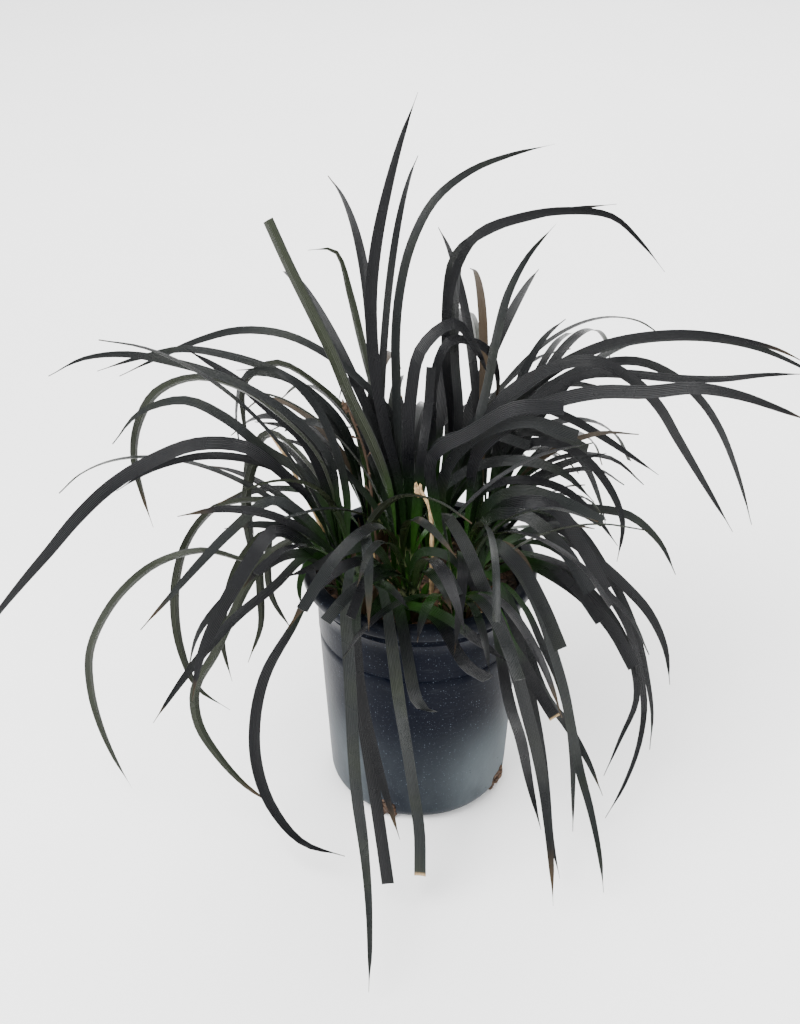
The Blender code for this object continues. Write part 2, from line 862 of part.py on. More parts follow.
def make_soil(finish):
    """The potting mix: it fills the pot, and has a plain hole for each crown and dry stalk."""
    bottom = WALL + GAP
    points, faces = [], []
    for k in range(1, SOIL_RINGS + 1):
        for i in range(SOIL_SIDES):
            angle = math.tau * i / SOIL_SIDES
            reach = (inner_radius(SOIL_HEIGHT) - GAP) * k / SOIL_RINGS
            x, y = reach * math.cos(angle), reach * math.sin(angle)
            points.append((x, y, soil_height(x, y)))
    foot = wall_radius(CORNER_RADIUS) - CORNER_RADIUS
    bend = CORNER_RADIUS - WALL - GAP
    side = [(inner_radius(CORNER_RADIUS) - GAP, CORNER_RADIUS + 0.5)]
    for degrees in (60, 30, 0):
        a = math.radians(degrees)
        side.append((foot - 0.6 + bend * math.sin(a), bottom + 0.2 + bend * (1 - math.cos(a))))
    for reach, z in side:
        for i in range(SOIL_SIDES):
            angle = math.tau * i / SOIL_SIDES
            points.append((reach * math.cos(angle), reach * math.sin(angle), z))
    rows = SOIL_RINGS + len(side)
    for k in range(rows - 1):
        for i in range(SOIL_SIDES):
            j = (i + 1) % SOIL_SIDES
            here, there = k * SOIL_SIDES, (k + 1) * SOIL_SIDES
            faces.append((here + i, here + j, there + j, there + i))
    top = len(points)
    points.append((0.0, 0.0, soil_height(0.0, 0.0)))
    for i in range(SOIL_SIDES):
        faces.append((top, i, (i + 1) % SOIL_SIDES))
    faces.append([(rows - 1) * SOIL_SIDES + i for i in range(SOIL_SIDES)])
    mesh = mesh_from("potting_soil", points, faces)
    outward(mesh)
    soil = add_object("potting_soil", mesh, finish)
    places = [(x, y, CROWN_RADIUS + 0.9, CROWN_DEPTH + 0.6) for x, y in CROWNS.values()]
    places += [(d.path[0][0], d.path[0][1], d.radius + 1.3, HOLE_DEPTH) for d in DRY_PIECES]
    for x, y, radius, depth in places:
        low = soil_height(x, y) - depth
        hole = lathe("hole", [(radius, low), (radius, SOIL_HEIGHT + 20)], HOLE_SIDES)
        cutter = add_object("hole", hole)
        cutter.location = (x * MM, y * MM, 0.0)
        bpy.context.view_layer.update()
        boolean(soil, cutter, "DIFFERENCE")
        bpy.data.objects.remove(cutter)
    return soil


def place_in_space(x, y, depth):
    """The point that the picture shows at (x, y), on the upright plane at this depth."""
    cosine, sine = math.cos(VIEW_ELEVATION), math.sin(VIEW_ELEVATION)
    ahead = Vector((0.0, cosine, -sine))
    up = Vector((0.0, sine, cosine))
    eye = VIEW_TARGET - ahead * VIEW_DISTANCE
    ray = ahead + Vector((1.0, 0.0, 0.0)) * ((x - PICTURE_CENTRE[0]) / VIEW_LENS)
    ray += up * ((PICTURE_CENTRE[1] - y) / VIEW_LENS)
    return eye + ray * ((depth - eye.y) / ray.y)


def spline(points, pieces):
    """Evenly spaced points on a smooth curve through the given ones."""
    padded = [points[0] * 2 - points[1], *points, points[-1] * 2 - points[-2]]
    fine = []
    for i in range(1, len(padded) - 2):
        a, b, c, d = padded[i - 1 : i + 3]
        for step in range(8):
            t = step / 8
            fine.append(
                0.5
                * (
                    (2 * b)
                    + (c - a) * t
                    + (2 * a - 5 * b + 4 * c - d) * t**2
                    + (3 * b - a - 3 * c + d) * t**3
                )
            )
    fine.append(points[-1])
    lengths = [0.0]
    for p, q in zip(fine, fine[1:]):
        lengths.append(lengths[-1] + (q - p).length)
    if pieces is None:
        pieces = round(lengths[-1] / SEGMENT_LENGTH)
        pieces = max(FEWEST_SEGMENTS, min(MOST_SEGMENTS, pieces))
    found, k = [], 0
    for i in range(pieces + 1):
        goal = lengths[-1] * i / pieces
        while k < len(fine) - 2 and lengths[k + 1] < goal:
            k += 1
        span = lengths[k + 1] - lengths[k]
        found.append(fine[k].lerp(fine[k + 1], (goal - lengths[k]) / span if span else 0.0))
    return found


def root_of(tuft, aim, index):
    """Where a leaf starts in its crown, on the side that it leaves by."""
    x, y = CROWNS[tuft]
    away = Vector((aim.x - x, aim.y - y, 0.0))
    lean = away.normalized() if away.length > 1 else Vector((0.0, 1.0, 0.0))
    turn = Vector((-lean.y, lean.x, 0.0))
    offset = lean * (1.2 + 1.5 * (index % 3)) + turn * (((index * 7) % 5 - 2) * 1.4)
    start = Vector((x, y, soil_height(x, y) + ROOT_LIFT)) + offset
    return start


def sides_of(points, roll, twist):
    """The direction across the blade at each point: level at the crown, then rolled and twisted."""
    made = []
    ends = points[-1] - points[0]
    across = Vector((-ends.y, ends.x, 0.0))
    across = across.normalized() if across.length > 8 else Vector((1.0, 0.0, 0.0))
    for i, p in enumerate(points):
        here = points[min(i + 1, len(points) - 1)] - points[max(i - 1, 0)]
        along = here.normalized()
        across = (across - along * across.dot(along)).normalized()
        share = i / (len(points) - 1)
        angle = math.radians(roll * min(1.0, share * 3) + twist * share)
        made.append(Matrix.Rotation(angle, 3, along) @ across)
    return made


def width_at(share, width, cut):
    """The blade's width along its length: narrow in the sheath, even, then tapered to its tip."""
    if share < 0.3:
        return width * (ROOT_SHARE + (1 - ROOT_SHARE) * math.sin(share / 0.3 * math.pi / 2))
    if cut or share < 0.62:
        return width
    return width * max(0.14, math.cos((share - 0.62) / 0.38 * math.pi / 2) ** 0.8)


def blade_mesh(shape, grow=0.0, skip=0.0):
    """Points and faces of a three-edged blade, grown on every side for the clearance test."""
    points, faces = [], []
    last = len(shape.points) - 1
    rings = [i for i in range(last + 1) if (shape.points[i] - shape.points[0]).length >= skip]
    if len(rings) < 2:
        rings = [last - 1, last]
    ways = [shape.points[min(i + 1, last)] - shape.points[max(i - 1, 0)] for i in range(last + 1)]
    backs = [side.cross(way).normalized() for side, way in zip(shape.side, ways)]
    facing = -1.0 if sum(back.z for back in backs[last // 3 :]) > 0 else 1.0
    for i in rings:
        across, below = shape.side[i], backs[i] * facing
        half = width_at(i / last, shape.width, shape.cut) / 2
        top = shape.points[i] - below * grow
        points.append(top - across * (half + grow))
        points.append(top + across * (half + grow))
        points.append(shape.points[i] + below * (KEEL + grow))
    for k in range(len(rings) - 1):
        for j in range(3):
            a, b = k * 3 + j, k * 3 + (j + 1) % 3
            faces.append((a, b, b + 3, a + 3))
    faces.append((0, 1, 2))
    end = 3 * (len(rings) - 1)
    faces.append((end, end + 1, end + 2))
    return points, faces


def with_trees(shape):
    """Adds the search trees that the clearance test uses."""
    points, faces = blade_mesh(shape, CLEARANCE)
    shape.full_tree = BVHTree.FromPolygons(points, faces)
    outer, outer_faces = blade_mesh(shape, CLEARANCE, SHARED_ROOT)
    shape.outer_tree = BVHTree.FromPolygons(outer, outer_faces)
    shape.low = Vector([min(p[k] for p in points) for k in range(3)])
    shape.high = Vector([max(p[k] for p in points) for k in range(3)])
    return shape


def meets(shape, other):
    """Whether two leaves come closer than the clearance. In one tuft, the crowded roots don't count."""
    if any(shape.low[k] > other.high[k] or other.low[k] > shape.high[k] for k in range(3)):
        return False
    if shape.tuft == other.tuft:
        return bool(shape.outer_tree.overlap(other.outer_tree))
    return bool(shape.full_tree.overlap(other.full_tree))


def room(p, rooted):
    """Distance and direction from the nearest of the pot, the surface below and, past the root, the mix."""
    reach = math.hypot(p.x, p.y)
    away = Vector((p.x / reach, p.y / reach, 0.0)) if reach else Vector((1.0, 0.0, 0.0))
    found = [(p.z - FLOOR_CLEARANCE, Vector((0.0, 0.0, 1.0)))]
    inner, low = NECK_RADIUS - WALL - 0.5, POT_HEIGHT - RIM_BAND
    beside = max(reach - RIM_RADIUS, 0.0) - max(inner - reach, 0.0)
    above = max(p.z - POT_HEIGHT, 0.0) - max(low - p.z, 0.0)
    gap = math.hypot(beside, above)
    if gap:
        found.append((gap, (away * beside + Vector((0.0, 0.0, above))) / gap))
    else:
        found.append((-2.0, away))
    if p.z < low and reach > wall_radius(p.z) - 12.0:
        found.append((reach - wall_radius(p.z) - BEAD_OUT, away))
    elif not rooted and (p.z < low or reach < inner):
        found.append((p.z - soil_height(p.x, p.y) - 0.6, Vector((0.0, 0.0, 1.0))))
    return min(found, key=lambda pair: pair[0])


def blocked(shape, i, share):
    """Whether the blade between two of its stations is too close to the pot, the mix or the floor."""
    p = shape.points[i].lerp(shape.points[i + 1], share)
    along = (i + share) / (len(shape.points) - 1)
    half = width_at(along, shape.width, shape.cut) / 2
    distance, direction = room(p, (p - shape.points[0]).length < ROOT_FREE)
    edge = abs(shape.side[i].lerp(shape.side[i + 1], share).dot(direction))
    return distance < half * edge + KEEL + CLEARANCE


def clear_of_pot(shape):
    """Whether a leaf keeps off the pot, the potting mix and the surface the pot stands on."""
    for i in range(len(shape.points) - 1):
        if any(blocked(shape, i, k / 7) for k in range(8)):
            return False
    return True


def pulled_clear(shape, towards):
    """Moves the blocked stations of a leaf up over the rim, or towards a direction outside it."""
    count = len(shape.points)
    for _ in range(PULL_ROUNDS):
        pull = [0.0] * count
        for i in range(count - 1):
            if any(blocked(shape, i, k / 7) for k in range(8)):
                for k, part in ((i - 1, 0.5), (i, 1.0), (i + 1, 1.0), (i + 2, 0.5)):
                    if 0 < k < count:
                        pull[k] = max(pull[k], part)
        if not any(pull):
            break
        for k in range(1, count):
            p = shape.points[k]
            way = towards if math.hypot(p.x, p.y) > RIM_RADIUS + PULL_UP_REACH else Vector((0.0, 0.0, 1.0))
            shape.points[k] = p + way * (pull[k] * PULL_STEP)
    return shape


def traced_shape(blade, index, shift, curve):
    """The traced leaf with its tip's depth moved by a shift, which keeps its place in the picture."""
    aim = place_in_space(*blade.trace[0], CROWNS[blade.tuft][1])
    start = root_of(blade.tuft, aim, index)
    steps = [0.0]
    for a, b in zip(blade.trace, blade.trace[1:]):
        steps.append(steps[-1] + math.dist(a, b))
    lead = math.dist(blade.trace[0], blade.trace[-1]) * 0.12
    points = [start]
    for (x, y), run in zip(blade.trace, steps):
        share = (run + lead) / (steps[-1] + lead)
        depth = start.y + (blade.depth + shift - start.y) * share**curve
        points.append(place_in_space(x, y, depth))
    line = spline(points, None)
    shape = Shape(blade.tuft, line, sides_of(line, blade.roll, blade.twist), blade.width, blade.cut)
    eye = Vector((0.0, -math.cos(VIEW_ELEVATION), math.sin(VIEW_ELEVATION)))
    return pulled_clear(shape, eye)


def fill_shape(tuft, index, rng):
    """An arching leaf by rule: it rises, bends over and falls, with a slight sideways sweep."""
    x, y = CROWNS[tuft]
    outwards = math.degrees(math.atan2(y, x))
    back = 90.0 if y > 0 else outwards
    bearing = math.radians(rng.gauss((outwards + back) / 2, FILL_SPREAD))
    length = rng.uniform(*FILL_LENGTH) * (FILL_FRONT_SHARE if math.sin(bearing) < 0.15 else 1.0)
    lift = math.radians(rng.uniform(*FILL_LIFT))
    fall = math.radians(rng.uniform(*FILL_FALL))
    sweep = math.radians(rng.gauss(0.0, FILL_SWEEP))
    aim = Vector((x + math.cos(bearing) * 30, y + math.sin(bearing) * 30, 0.0))
    start = root_of(tuft, aim, index)
    points, here = [start], start.copy()
    step = length / (FILL_STATIONS - 1)
    bend = rng.uniform(0.8, 1.7)
    for i in range(1, FILL_STATIONS):
        share = (i - 0.5) / (FILL_STATIONS - 1)
        pitch = lift + (fall - lift) * share**bend
        heading = bearing + sweep * share
        here = here + step * Vector(
            (math.cos(heading) * math.cos(pitch), math.sin(heading) * math.cos(pitch), math.sin(pitch))
        )
        points.append(here)
    width = rng.uniform(*FILL_WIDTH)
    cut = rng.random() < FILL_CUT_SHARE
    line = spline(points, None)
    shape = Shape(tuft, line, sides_of(line, rng.uniform(-25, 25), rng.uniform(-25, 25)), width, cut)
    return pulled_clear(shape, Vector((math.cos(bearing), math.sin(bearing), 0.6)))


def dry_shape(dry):
    """A dry piece as an obstacle for the leaves."""
    line = spline([Vector(p) for p in dry.path], 5)
    return Shape(dry.name, line, sides_of(line, 0.0, 0.0), dry.radius * 4, True)


def crown_shape(tuft):
    """The crown of a tuft as an obstacle for the leaves of the others."""
    x, y = CROWNS[tuft]
    foot = Vector((x, y, soil_height(x, y) - 4.0))
    line = [foot, foot + Vector((0.0, 0.0, 13.0)), foot + Vector((0.0, 0.0, CROWN_RISE + 5.0))]
    shape = Shape(tuft, line, [Vector((1.0, 0.0, 0.0))] * 3, CROWN_RADIUS * 2, True)
    points, faces = tube(line, [CROWN_RADIUS + 1.0, CROWN_RADIUS, CROWN_TOP_RADIUS + 1.0], CROWN_SIDES)
    shape.full_tree = BVHTree.FromPolygons(points, faces)
    shape.outer_tree = BVHTree.FromPolygons([foot - Vector((0, 0, 500 + k)) for k in range(3)], [(0, 1, 2)])
    shape.low = Vector([min(p[k] for p in points) for k in range(3)])
    shape.high = Vector([max(p[k] for p in points) for k in range(3)])
    return shape


def place_traced(blade, index, placed):
    """The traced leaf in the first position that is clear, or nothing."""
    for reach in DEPTH_REACHES:
        for shift in (reach, -reach):
            for curve in DEPTH_CURVES:
                for turn in (0, 3):
                    shape = with_trees(traced_shape(blade, index + turn, shift, curve))
                    if clear_of_pot(shape) and not any(meets(shape, other) for other in placed):
                        return shape
    return None


def grow_leaves():
    """Every leaf of the plant, bent clear of the ones placed before it."""
    placed = [with_trees(dry_shape(dry)) for dry in DRY_PIECES]
    placed += [crown_shape(tuft) for tuft in CROWNS]
    leaves = []
    for index, blade in enumerate(TRACED):
        shape = place_traced(blade, index, placed)
        if shape:
            placed.append(shape)
            leaves.append(shape)
    rng = random.Random(FILL_SEED)
    for tuft, count in FILL_COUNT.items():
        grown = 0
        for index in range(count * FILL_TRIES):
            shape = fill_shape(tuft, index, rng)
            if not clear_of_pot(shape):
                continue
            with_trees(shape)
            if any(meets(shape, other) for other in placed):
                continue
            placed.append(shape)
            leaves.append(shape)
            grown += 1
            if grown == count:
                break
    return leaves


def tube(points, radii, sides=6):
    """A round stalk through points, in millimetres."""
    made, faces = [], []
    across = Vector((1.0, 0.0, 0.0))
    last = len(points) - 1
    for i, p in enumerate(points):
        along = (points[min(i + 1, last)] - points[max(i - 1, 0)]).normalized()
        across = (across - along * across.dot(along)).normalized()
        beside = along.cross(across)
        for k in range(sides):
            angle = math.tau * k / sides
            made.append(p + (across * math.cos(angle) + beside * math.sin(angle)) * radii[i])
    for i in range(last):
        for k in range(sides):
            a, b = i * sides + k, i * sides + (k + 1) % sides
            faces.append((a, b, b + sides, a + sides))
    faces.append(list(range(sides)))
    faces.append(list(range(last * sides, last * sides + sides)))
    return made, faces


def drop_scraps(obj):
    """Keeps the largest of a mesh's bodies: where many leaves cross, a join can leave a sealed pocket."""
    work = bmesh.new()
    work.from_mesh(obj.data)
    left, bodies = set(work.faces), []
    while left:
        body = [left.pop()]
        for face in body:
            for edge in face.edges:
                found = left.intersection(edge.link_faces)
                left -= found
                body += found
        bodies.append(body)
    bodies.sort(key=len)
    scraps = [face for body in bodies[:-1] for face in body]
    bmesh.ops.delete(work, geom=scraps, context="FACES")
    work.to_mesh(obj.data)
    work.free()


def is_clean(mesh):
    """Whether a joined mesh stays closed, with two faces at every edge, once close points are merged."""
    work = bmesh.new()
    work.from_mesh(mesh)
    bmesh.ops.remove_doubles(work, verts=work.verts, dist=JOIN_CHECK)
    clean = all(len(edge.link_faces) == 2 for edge in work.edges)
    work.free()
    return clean


def join_tuft(name, leaves, finish, turn):
    """One tuft: its crown with all its leaves, joined in one solid."""
    x, y = CROWNS[name]
    top = soil_height(x, y)
    profile = [
        (CROWN_RADIUS - 2.5, top - CROWN_DEPTH),
        (CROWN_RADIUS, top - CROWN_DEPTH * 0.5),
        (CROWN_RADIUS, top + CROWN_RISE * 0.15),
        (CROWN_RADIUS - 1.2, top + CROWN_RISE * 0.6),
        (CROWN_TOP_RADIUS, top + CROWN_RISE),
    ]
    crown = lathe(name, profile, CROWN_SIDES)
    crown.transform(Matrix.Rotation(math.radians(turn), 4, "Z"))
    tuft = add_object(name, crown, finish)
    tuft.location = (x * MM, y * MM, 0.0)
    group = bpy.data.collections.new(name + "_blades")
    bpy.context.scene.collection.children.link(group)
    for shape in leaves:
        points, faces = blade_mesh(shape)
        local = [p - Vector((x, y, 0.0)) for p in points]
        mesh = mesh_from("blade", local, faces)
        outward(mesh)
        blade = bpy.data.objects.new("blade", mesh)
        blade.location = tuft.location
        group.objects.link(blade)
    bpy.context.view_layer.update()
    boolean(tuft, group, "UNION", solver="MANIFOLD", collection=True)
    drop_scraps(tuft)
    for blade in list(group.objects):
        bpy.data.objects.remove(blade)
    bpy.data.collections.remove(group)
    return tuft


def make_tuft(name, leaves, finish):
    """A tuft whose join is clean: the crown is turned a little until it is."""
    for turn in CROWN_TURNS:
        tuft = join_tuft(name, leaves, finish, turn + CROWN_FIRST_TURN.get(name, 0.0))
        if is_clean(tuft.data):
            break
        if turn != CROWN_TURNS[-1]:
            bpy.data.objects.remove(tuft)
    return tuft


def make_dry_piece(dry, finish):
    """A dry stalk or straw blade, with the short stalks that its flowers left."""
    line = spline([Vector(p) for p in dry.path], 8)
    radii = [dry.radius * (1 - 0.35 * i / 8) for i in range(9)]
    points, faces = tube(line, radii)
    mesh = mesh_from(dry.name, points, faces)
    outward(mesh)
    piece = add_object(dry.name, mesh, finish)
    if not dry.pedicels:
        return piece
    group = bpy.data.collections.new(dry.name + "_pedicels")
    bpy.context.scene.collection.children.link(group)
    low, high = PEDICEL_SPAN
    for i in range(dry.pedicels):
        share = low + (high - low) * i / (dry.pedicels - 1)
        at = line[min(7, int(share * 8))].lerp(line[min(8, int(share * 8) + 1)], share * 8 % 1)
        turn = math.radians(137.5 * i)
        out = Vector((math.cos(turn), math.sin(turn), 0.5)) * PEDICEL_LENGTH
        stub, stub_faces = tube([at, at + out], [PEDICEL_RADIUS, PEDICEL_RADIUS * 1.4], 5)
        stub_mesh = mesh_from("pedicel", stub, stub_faces)
        outward(stub_mesh)
        group.objects.link(bpy.data.objects.new("pedicel", stub_mesh))
    bpy.context.view_layer.update()
    boolean(piece, group, "UNION", solver="MANIFOLD", collection=True)
    for stub in list(group.objects):
        bpy.data.objects.remove(stub)
    bpy.data.collections.remove(group)
    return piece


def main():
    """Builds the pot, the potting mix, the tufts and the dry pieces."""
    clear_scene()
    finishes = {
        "pot": material("pot_plastic", (0.045, 0.052, 0.065), 0.42),
        "soil": material("potting_mix", (0.045, 0.028, 0.016), 0.95),
        "leaf": material("leaf", (0.035, 0.04, 0.04), 0.45),
        "stalk": material("dry_stalk", (0.12, 0.06, 0.03), 0.8),
        "straw": material("dry_straw", (0.62, 0.45, 0.22), 0.8),
    }
    make_pot(finishes["pot"])
    make_soil(finishes["soil"])
    leaves = grow_leaves()
    for name in CROWNS:
        make_tuft(name, [leaf for leaf in leaves if leaf.tuft == name], finishes["leaf"])
    for dry in DRY_PIECES:
        make_dry_piece(dry, finishes[dry.tint])


if __name__ == "__main__":
    main()
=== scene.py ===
"""Black mondo grass in its nursery pot: the finished pieces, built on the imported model.

Lengths inside the classes are in millimetres, and meshes are made in metres. +Z is up, and the camera stands
at -Y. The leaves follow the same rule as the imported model, so each fine leaf lies on its solid one.
"""

from __future__ import annotations

import logging
import math
import random
from dataclasses import dataclass, field
from enum import Enum
from typing import Iterable, Sequence

import bmesh
import bpy
from mathutils import Matrix, Vector, noise
from mathutils.bvhtree import BVHTree


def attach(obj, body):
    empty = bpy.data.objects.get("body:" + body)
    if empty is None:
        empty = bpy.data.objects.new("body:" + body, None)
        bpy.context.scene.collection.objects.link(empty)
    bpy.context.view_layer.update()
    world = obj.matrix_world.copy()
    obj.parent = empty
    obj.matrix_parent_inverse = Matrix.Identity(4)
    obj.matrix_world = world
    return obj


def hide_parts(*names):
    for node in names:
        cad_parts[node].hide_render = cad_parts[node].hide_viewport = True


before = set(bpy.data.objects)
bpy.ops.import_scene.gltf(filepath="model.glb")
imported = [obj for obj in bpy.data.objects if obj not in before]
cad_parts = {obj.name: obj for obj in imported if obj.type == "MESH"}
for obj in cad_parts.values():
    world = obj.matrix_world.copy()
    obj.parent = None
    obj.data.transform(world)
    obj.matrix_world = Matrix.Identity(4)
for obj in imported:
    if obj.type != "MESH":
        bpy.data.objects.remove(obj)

LOG = logging.getLogger("mondo_grass")
MM = 0.001

Point = tuple[float, float]
Triple = tuple[float, float, float]
Face = tuple[int, ...]


class Tuft(Enum):
    """The leafy tufts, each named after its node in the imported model."""

    MIDDLE = "tuft_middle"
    FRONT = "tuft_front"
    FRONT_LEFT = "tuft_front_left"
    RIGHT = "tuft_right"
    LEFT = "tuft_left"
    BACK_LEFT = "tuft_back_left"
    BACK = "tuft_back"
    BACK_RIGHT = "tuft_back_right"
    FRONT_RIGHT = "tuft_front_right"


class Tint(Enum):
    """The dry pieces' finishes."""

    STALK = "stalk"
    STRAW = "straw"


@dataclass(frozen=True)
class PotSizes:
    """Driving sizes of the pot and its contents."""

    rim_radius: float = 60.0
    height: float = 138.0
    rim_band: float = 7.0
    neck_radius: float = 53.6
    base_radius: float = 47.6
    wall: float = 1.5
    corner_radius: float = 9.0
    ledge_height: float = 101.0
    ledge_step: float = 0.8
    bead_height: float = 124.0
    bead_out: float = 0.9
    drain_width: float = 15.0
    drain_height: float = 11.0
    drain_first: float = 246.0
    drain_count: int = 4
    soil_height: float = 119.0
    soil_mound: float = 4.0
    soil_bump: float = 1.3
    gap: float = 0.3

    def wall_radius(self, height: float) -> float:
        """Outer radius of the plain tapered wall.

        Args:
            height: Height above the base.

        Returns:
            The radius there.
        """
        share = (height - self.corner_radius) / (self.height - self.rim_band - self.corner_radius)
        return self.base_radius + (self.neck_radius - self.base_radius) * share

    def inner_radius(self, height: float) -> float:
        """Inner radius of the wall.

        Args:
            height: Height above the base.

        Returns:
            The radius there.
        """
        foot = self.wall_radius(self.corner_radius) - self.corner_radius
        low = foot + self.corner_radius - self.wall
        high = self.neck_radius - self.wall - 0.2
        return low + (high - low) * (height - self.corner_radius) / (self.height - 4.0 - self.corner_radius)

    def soil_at(self, x: float, y: float) -> float:
        """Height of the potting mix.

        Args:
            x: Place across.
            y: Place in depth.

        Returns:
            The height of the mound with its lumps.
        """
        reach = min(1.0, math.hypot(x, y) / (self.neck_radius - self.wall))
        lumps = math.sin(x * 0.41 + 1.3) * math.cos(y * 0.37 - 0.6)
        grit = 0.6 * math.sin(x * 0.93 - y * 0.71) * math.cos(y * 0.88 + x * 0.35)
        rough = self.soil_bump * (lumps + grit) * (1 - reach**6)
        return self.soil_height + self.soil_mound * (1 - reach**2) + rough


@dataclass(frozen=True)
class CrownSizes:
    """Sizes of the crowns, where the leaves of a tuft come together."""

    radius: float = 8.5
    top_radius: float = 5.5
    rise: float = 24.0
    sides: int = 9
    sunk: float = 4.0
    shoulder: float = 13.0
    headroom: float = 5.0
    room: float = 1.0
    far_below: float = 500.0


@dataclass(frozen=True)
class LeafRules:
    """How leaves are divided, kept apart and lifted over the rim."""

    keel: float = 0.95
    root_share: float = 0.5
    clearance: float = 0.45
    segment_length: float = 23.6
    fewest_segments: int = 5
    most_segments: int = 13
    floor_clearance: float = 2.5
    shared_root: float = 24.0
    root_free: float = 14.0
    root_lift: float = 13.0
    depth_reaches: tuple[int, ...] = (0, 5, 10, 16, 23, 31, 40)
    depth_curves: tuple[float, ...] = (1.1, 0.8, 1.5)
    pull_rounds: int = 26
    pull_up_reach: float = 5.0
    pull_step: float = 1.4
    root_end: float = 0.3
    taper_start: float = 0.62
    taper_length: float = 0.38
    tip_share: float = 0.14
    tip_power: float = 0.8
    curve_steps: int = 8
    steep_reach: float = 8.0
    roll_rate: float = 3.0
    checks: int = 8
    rim_gap: float = 0.5
    in_wall: float = -2.0
    wall_reach: float = 12.0
    mix_clearance: float = 0.6
    root_ring: float = 1.2
    root_step: float = 1.5
    root_side: float = 1.4
    root_turns: tuple[int, ...] = (0, 3)
    lead_share: float = 0.12
    stalk_pieces: int = 5
    stalk_room: float = 4.0


@dataclass(frozen=True)
class FillRules:
    """How the leaves that the picture hides are grown."""

    seed: int = 23
    tries: int = 26
    length: Point = (85.0, 225.0)
    width: Point = (4.2, 6.4)
    lift: Point = (66.0, 88.0)
    fall: Point = (-78.0, 5.0)
    sweep: float = 16.0
    spread: float = 62.0
    cut_share: float = 0.16
    stations: int = 9
    front_share: float = 0.68
    front_limit: float = 0.15
    aim_reach: float = 30.0
    bend: Point = (0.8, 1.7)
    roll: Point = (-25.0, 25.0)
    outward_rise: float = 0.6


@dataclass(frozen=True)
class Picture:
    """How the reference picture looks at the pot."""

    centre: Point = (400.0, 512.0)
    distance: float = 800.0
    elevation: float = math.radians(33.7)
    target: Triple = (-10.0, 0.0, 167.0)
    lens: float = 1602.0
    long_side: float = 1024.0
    film: float = 36.0

    def directions(self) -> tuple[Vector, Vector]:
        """The direction that the camera looks, and its upward one."""
        cosine, sine = math.cos(self.elevation), math.sin(self.elevation)
        return Vector((0.0, cosine, -sine)), Vector((0.0, sine, cosine))

    def eye(self) -> Vector:
        """Where the camera stands, in millimetres."""
        return Vector(self.target) - self.directions()[0] * self.distance

    def place(self, x: float, y: float, depth: float) -> Vector:
        """The point that the picture shows at a place, on the upright plane at a depth.

        Args:
            x: Pixel from the left.
            y: Pixel from the top.
            depth: The plane's place along Y.

        Returns:
            The point in millimetres.
        """
        ahead, up = self.directions()
        eye = self.eye()
        ray = ahead + Vector((1.0, 0.0, 0.0)) * ((x - self.centre[0]) / self.lens)
        ray += up * ((self.centre[1] - y) / self.lens)
        return eye + ray * ((depth - eye.y) / ray.y)


POT = PotSizes()
CROWN = CrownSizes()
LEAF = LeafRules()
FILL = FillRules()
PICTURE = Picture()


@dataclass(frozen=True)
class Blade:
    """One leaf traced on the picture, from the crown outwards."""

    tuft: Tuft
    depth: float
    width: float
    trace: tuple[Point, ...]
    roll: float = 0.0
    twist: float = 0.0
    cut: bool = False


@dataclass(frozen=True)
class Dry:
    """A dead stalk or straw, with the places it passes through."""

    name: str
    path: tuple[Triple, ...]
    radius: float
    tint: Tint
    pedicels: int = 0


CROWNS: dict[Tuft, Point] = {
    Tuft.MIDDLE: (-7.0, 3.0),
    Tuft.FRONT: (-4.0, -26.0),
    Tuft.FRONT_LEFT: (-28.5, -28.5),
    Tuft.RIGHT: (20.0, -8.0),
    Tuft.LEFT: (-35.0, -8.0),
    Tuft.BACK_LEFT: (-23.0, 25.0),
    Tuft.BACK: (8.0, 31.0),
    Tuft.BACK_RIGHT: (33.0, 18.0),
    Tuft.FRONT_RIGHT: (18.0, -35.0),
}

